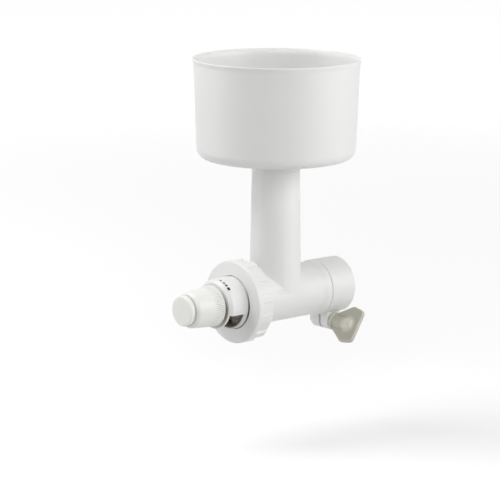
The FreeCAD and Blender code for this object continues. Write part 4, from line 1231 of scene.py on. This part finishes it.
class MILL_OT_stage(bpy.types.Operator):
    """Set the pale floor, the soft lamps, the white surround and the camera"""
    bl_idname = "mill.stage"
    bl_label = "Stage"

    def execute(self, context):
        scene = context.scene
        colours = scene.mill_colours
        deselect()
        bpy.ops.mesh.primitive_plane_add(size=FLOOR_SIZE, location=(0, 0, FLOOR_HEIGHT))
        floor = start("studio_floor")
        bpy.ops.mesh.subdivide(number_cuts=4)
        bpy.ops.object.mode_set(mode="OBJECT")
        finish, tree, place = blank_material("matt_floor_paper")
        away = add_node(tree, "VectorMath", {0: place}, operation="LENGTH")
        fill = add_node(tree, "MapRange", {
            "Value": away, "From Min": FLOOR_NEAR, "From Max": FLOOR_FAR,
            "To Min": FLOOR_FILL_NEAR, "To Max": FLOOR_FILL_FAR})
        fill = add_node(tree, "Math", {0: seen_rays(tree), 1: fill}, operation="MULTIPLY")
        paper = add_node(tree, "BsdfDiffuse", {"Color": shade(colours.floor, 1.0)})
        white = add_node(tree, "Emission", {"Color": (1, 1, 1, 1), "Strength": fill})
        mixed = add_node(tree, "AddShader", {0: paper, 1: white})
        add_node(tree, "OutputMaterial", {"Surface": mixed})
        floor.data.materials.append(finish)

        world = bpy.data.worlds.new("white_surround")
        scene.world = world
        world.use_nodes = True
        tree = world.node_tree
        tree.nodes.clear()
        level = add_node(tree, "MapRange", {"Value": seen_rays(tree), "To Min": AMBIENT, "To Max": 1.0})
        sky = add_node(tree, "Background", {"Color": (1, 1, 1, 1), "Strength": level})
        add_node(tree, "OutputWorld", {"Surface": sky})

        back = CAMERA_BACK
        side = Vector((-back.y, back.x, 0)).normalized()
        # Name, metres to the right of the mill, in front of it and above it, size in metres, power in watts.
        lamps = (
            ("softbox_right", 1.6, 0, 0.35, 1.2, 7.2),
            ("softbox_right_front", 1.3, 0.8, 0.4, 0.8, 8.4),
            ("softbox_left", -1.6, 0, 0.35, 1.2, 6.7),
            ("softbox_front", 0, 1.8, 0.6, 1.2, 9.0),
            ("softbox_top_left", -0.9, 0, 1.3, 0.9, 13.4),
            ("softbox_top", 0, 0, 1.7, 1.0, 3.4),
        )
        for name, across, ahead, above, size, power in lamps:
            offset = side * across + back * ahead + Vector((0, 0, above))
            data = bpy.data.lights.new(name, "AREA")
            data.shape = "SQUARE"
            data.size = size
            data.energy = power
            lamp = bpy.data.objects.new(name, data)
            lamp.location = LAMP_AIM + offset
            lamp.rotation_euler = (-offset).to_track_quat("-Z", "Y").to_euler()
            lamp.visible_camera = False
            scene.collection.objects.link(lamp)

        up = back.cross(side)
        right = side * math.cos(CAMERA_ROLL) + up * math.sin(CAMERA_ROLL)
        top = up * math.cos(CAMERA_ROLL) - side * math.sin(CAMERA_ROLL)
        data = bpy.data.cameras.new("photo_camera")
        data.sensor_width = CAMERA_SENSOR
        data.lens = CAMERA_LENS
        data.clip_start = CAMERA_START
        data.clip_end = CAMERA_END
        camera = bpy.data.objects.new("photo_camera", data)
        turn = Matrix((right, top, back)).transposed().to_4x4()
        camera.matrix_world = Matrix.Translation(CAMERA_PLACE) @ turn
        scene.collection.objects.link(camera)
        scene.camera = camera
        scene.view_settings.view_transform = "Standard"
        return {"FINISHED"}


OPERATORS = (
    MILL_OT_hopper,
    MILL_OT_housing,
    MILL_OT_clamp_sleeve,
    MILL_OT_locking_ring,
    MILL_OT_outlet_collar,
    MILL_OT_adjusting_knob,
    MILL_OT_wing_screw,
    MILL_OT_knob_spring,
    MILL_OT_works,
    MILL_OT_stage,
)


class MILL_PT_pieces(bpy.types.Panel):
    """Sidebar list of the mill's pieces"""
    bl_idname = "MILL_PT_pieces"
    bl_label = "Grain Mill"
    bl_space_type = "VIEW_3D"
    bl_region_type = "UI"
    bl_category = "Mill"

    def draw(self, context):
        for operator in OPERATORS:
            self.layout.operator(operator.bl_idname)


GROUPS = {
    "mill_hopper": MillHopperSizes,
    "mill_barrel": MillBarrelSizes,
    "mill_head": MillHeadSizes,
    "mill_clamp": MillClampSizes,
    "mill_colours": MillColours,
}


def register():
    """Register the sizes, the operators and the panel."""
    for name, group in GROUPS.items():
        bpy.utils.register_class(group)
        setattr(bpy.types.Scene, name, bpy.props.PointerProperty(type=group))
    for operator in OPERATORS:
        bpy.utils.register_class(operator)
    bpy.utils.register_class(MILL_PT_pieces)


def unregister():
    """Take the panel, the operators and the sizes out again."""
    bpy.utils.unregister_class(MILL_PT_pieces)
    for operator in reversed(OPERATORS):
        bpy.utils.unregister_class(operator)
    for name, group in reversed(GROUPS.items()):
        delattr(bpy.types.Scene, name)
        bpy.utils.unregister_class(group)


def main():
    """Register the sizes, model every piece in order and set the stage."""
    register()
    bpy.ops.mill.hopper()
    bpy.ops.mill.housing()
    bpy.ops.mill.clamp_sleeve()
    bpy.ops.mill.locking_ring()
    bpy.ops.mill.outlet_collar()
    bpy.ops.mill.adjusting_knob()
    bpy.ops.mill.wing_screw()
    bpy.ops.mill.knob_spring()
    bpy.ops.mill.works()
    bpy.ops.mill.stage()


if __name__ == "__main__":
    main()
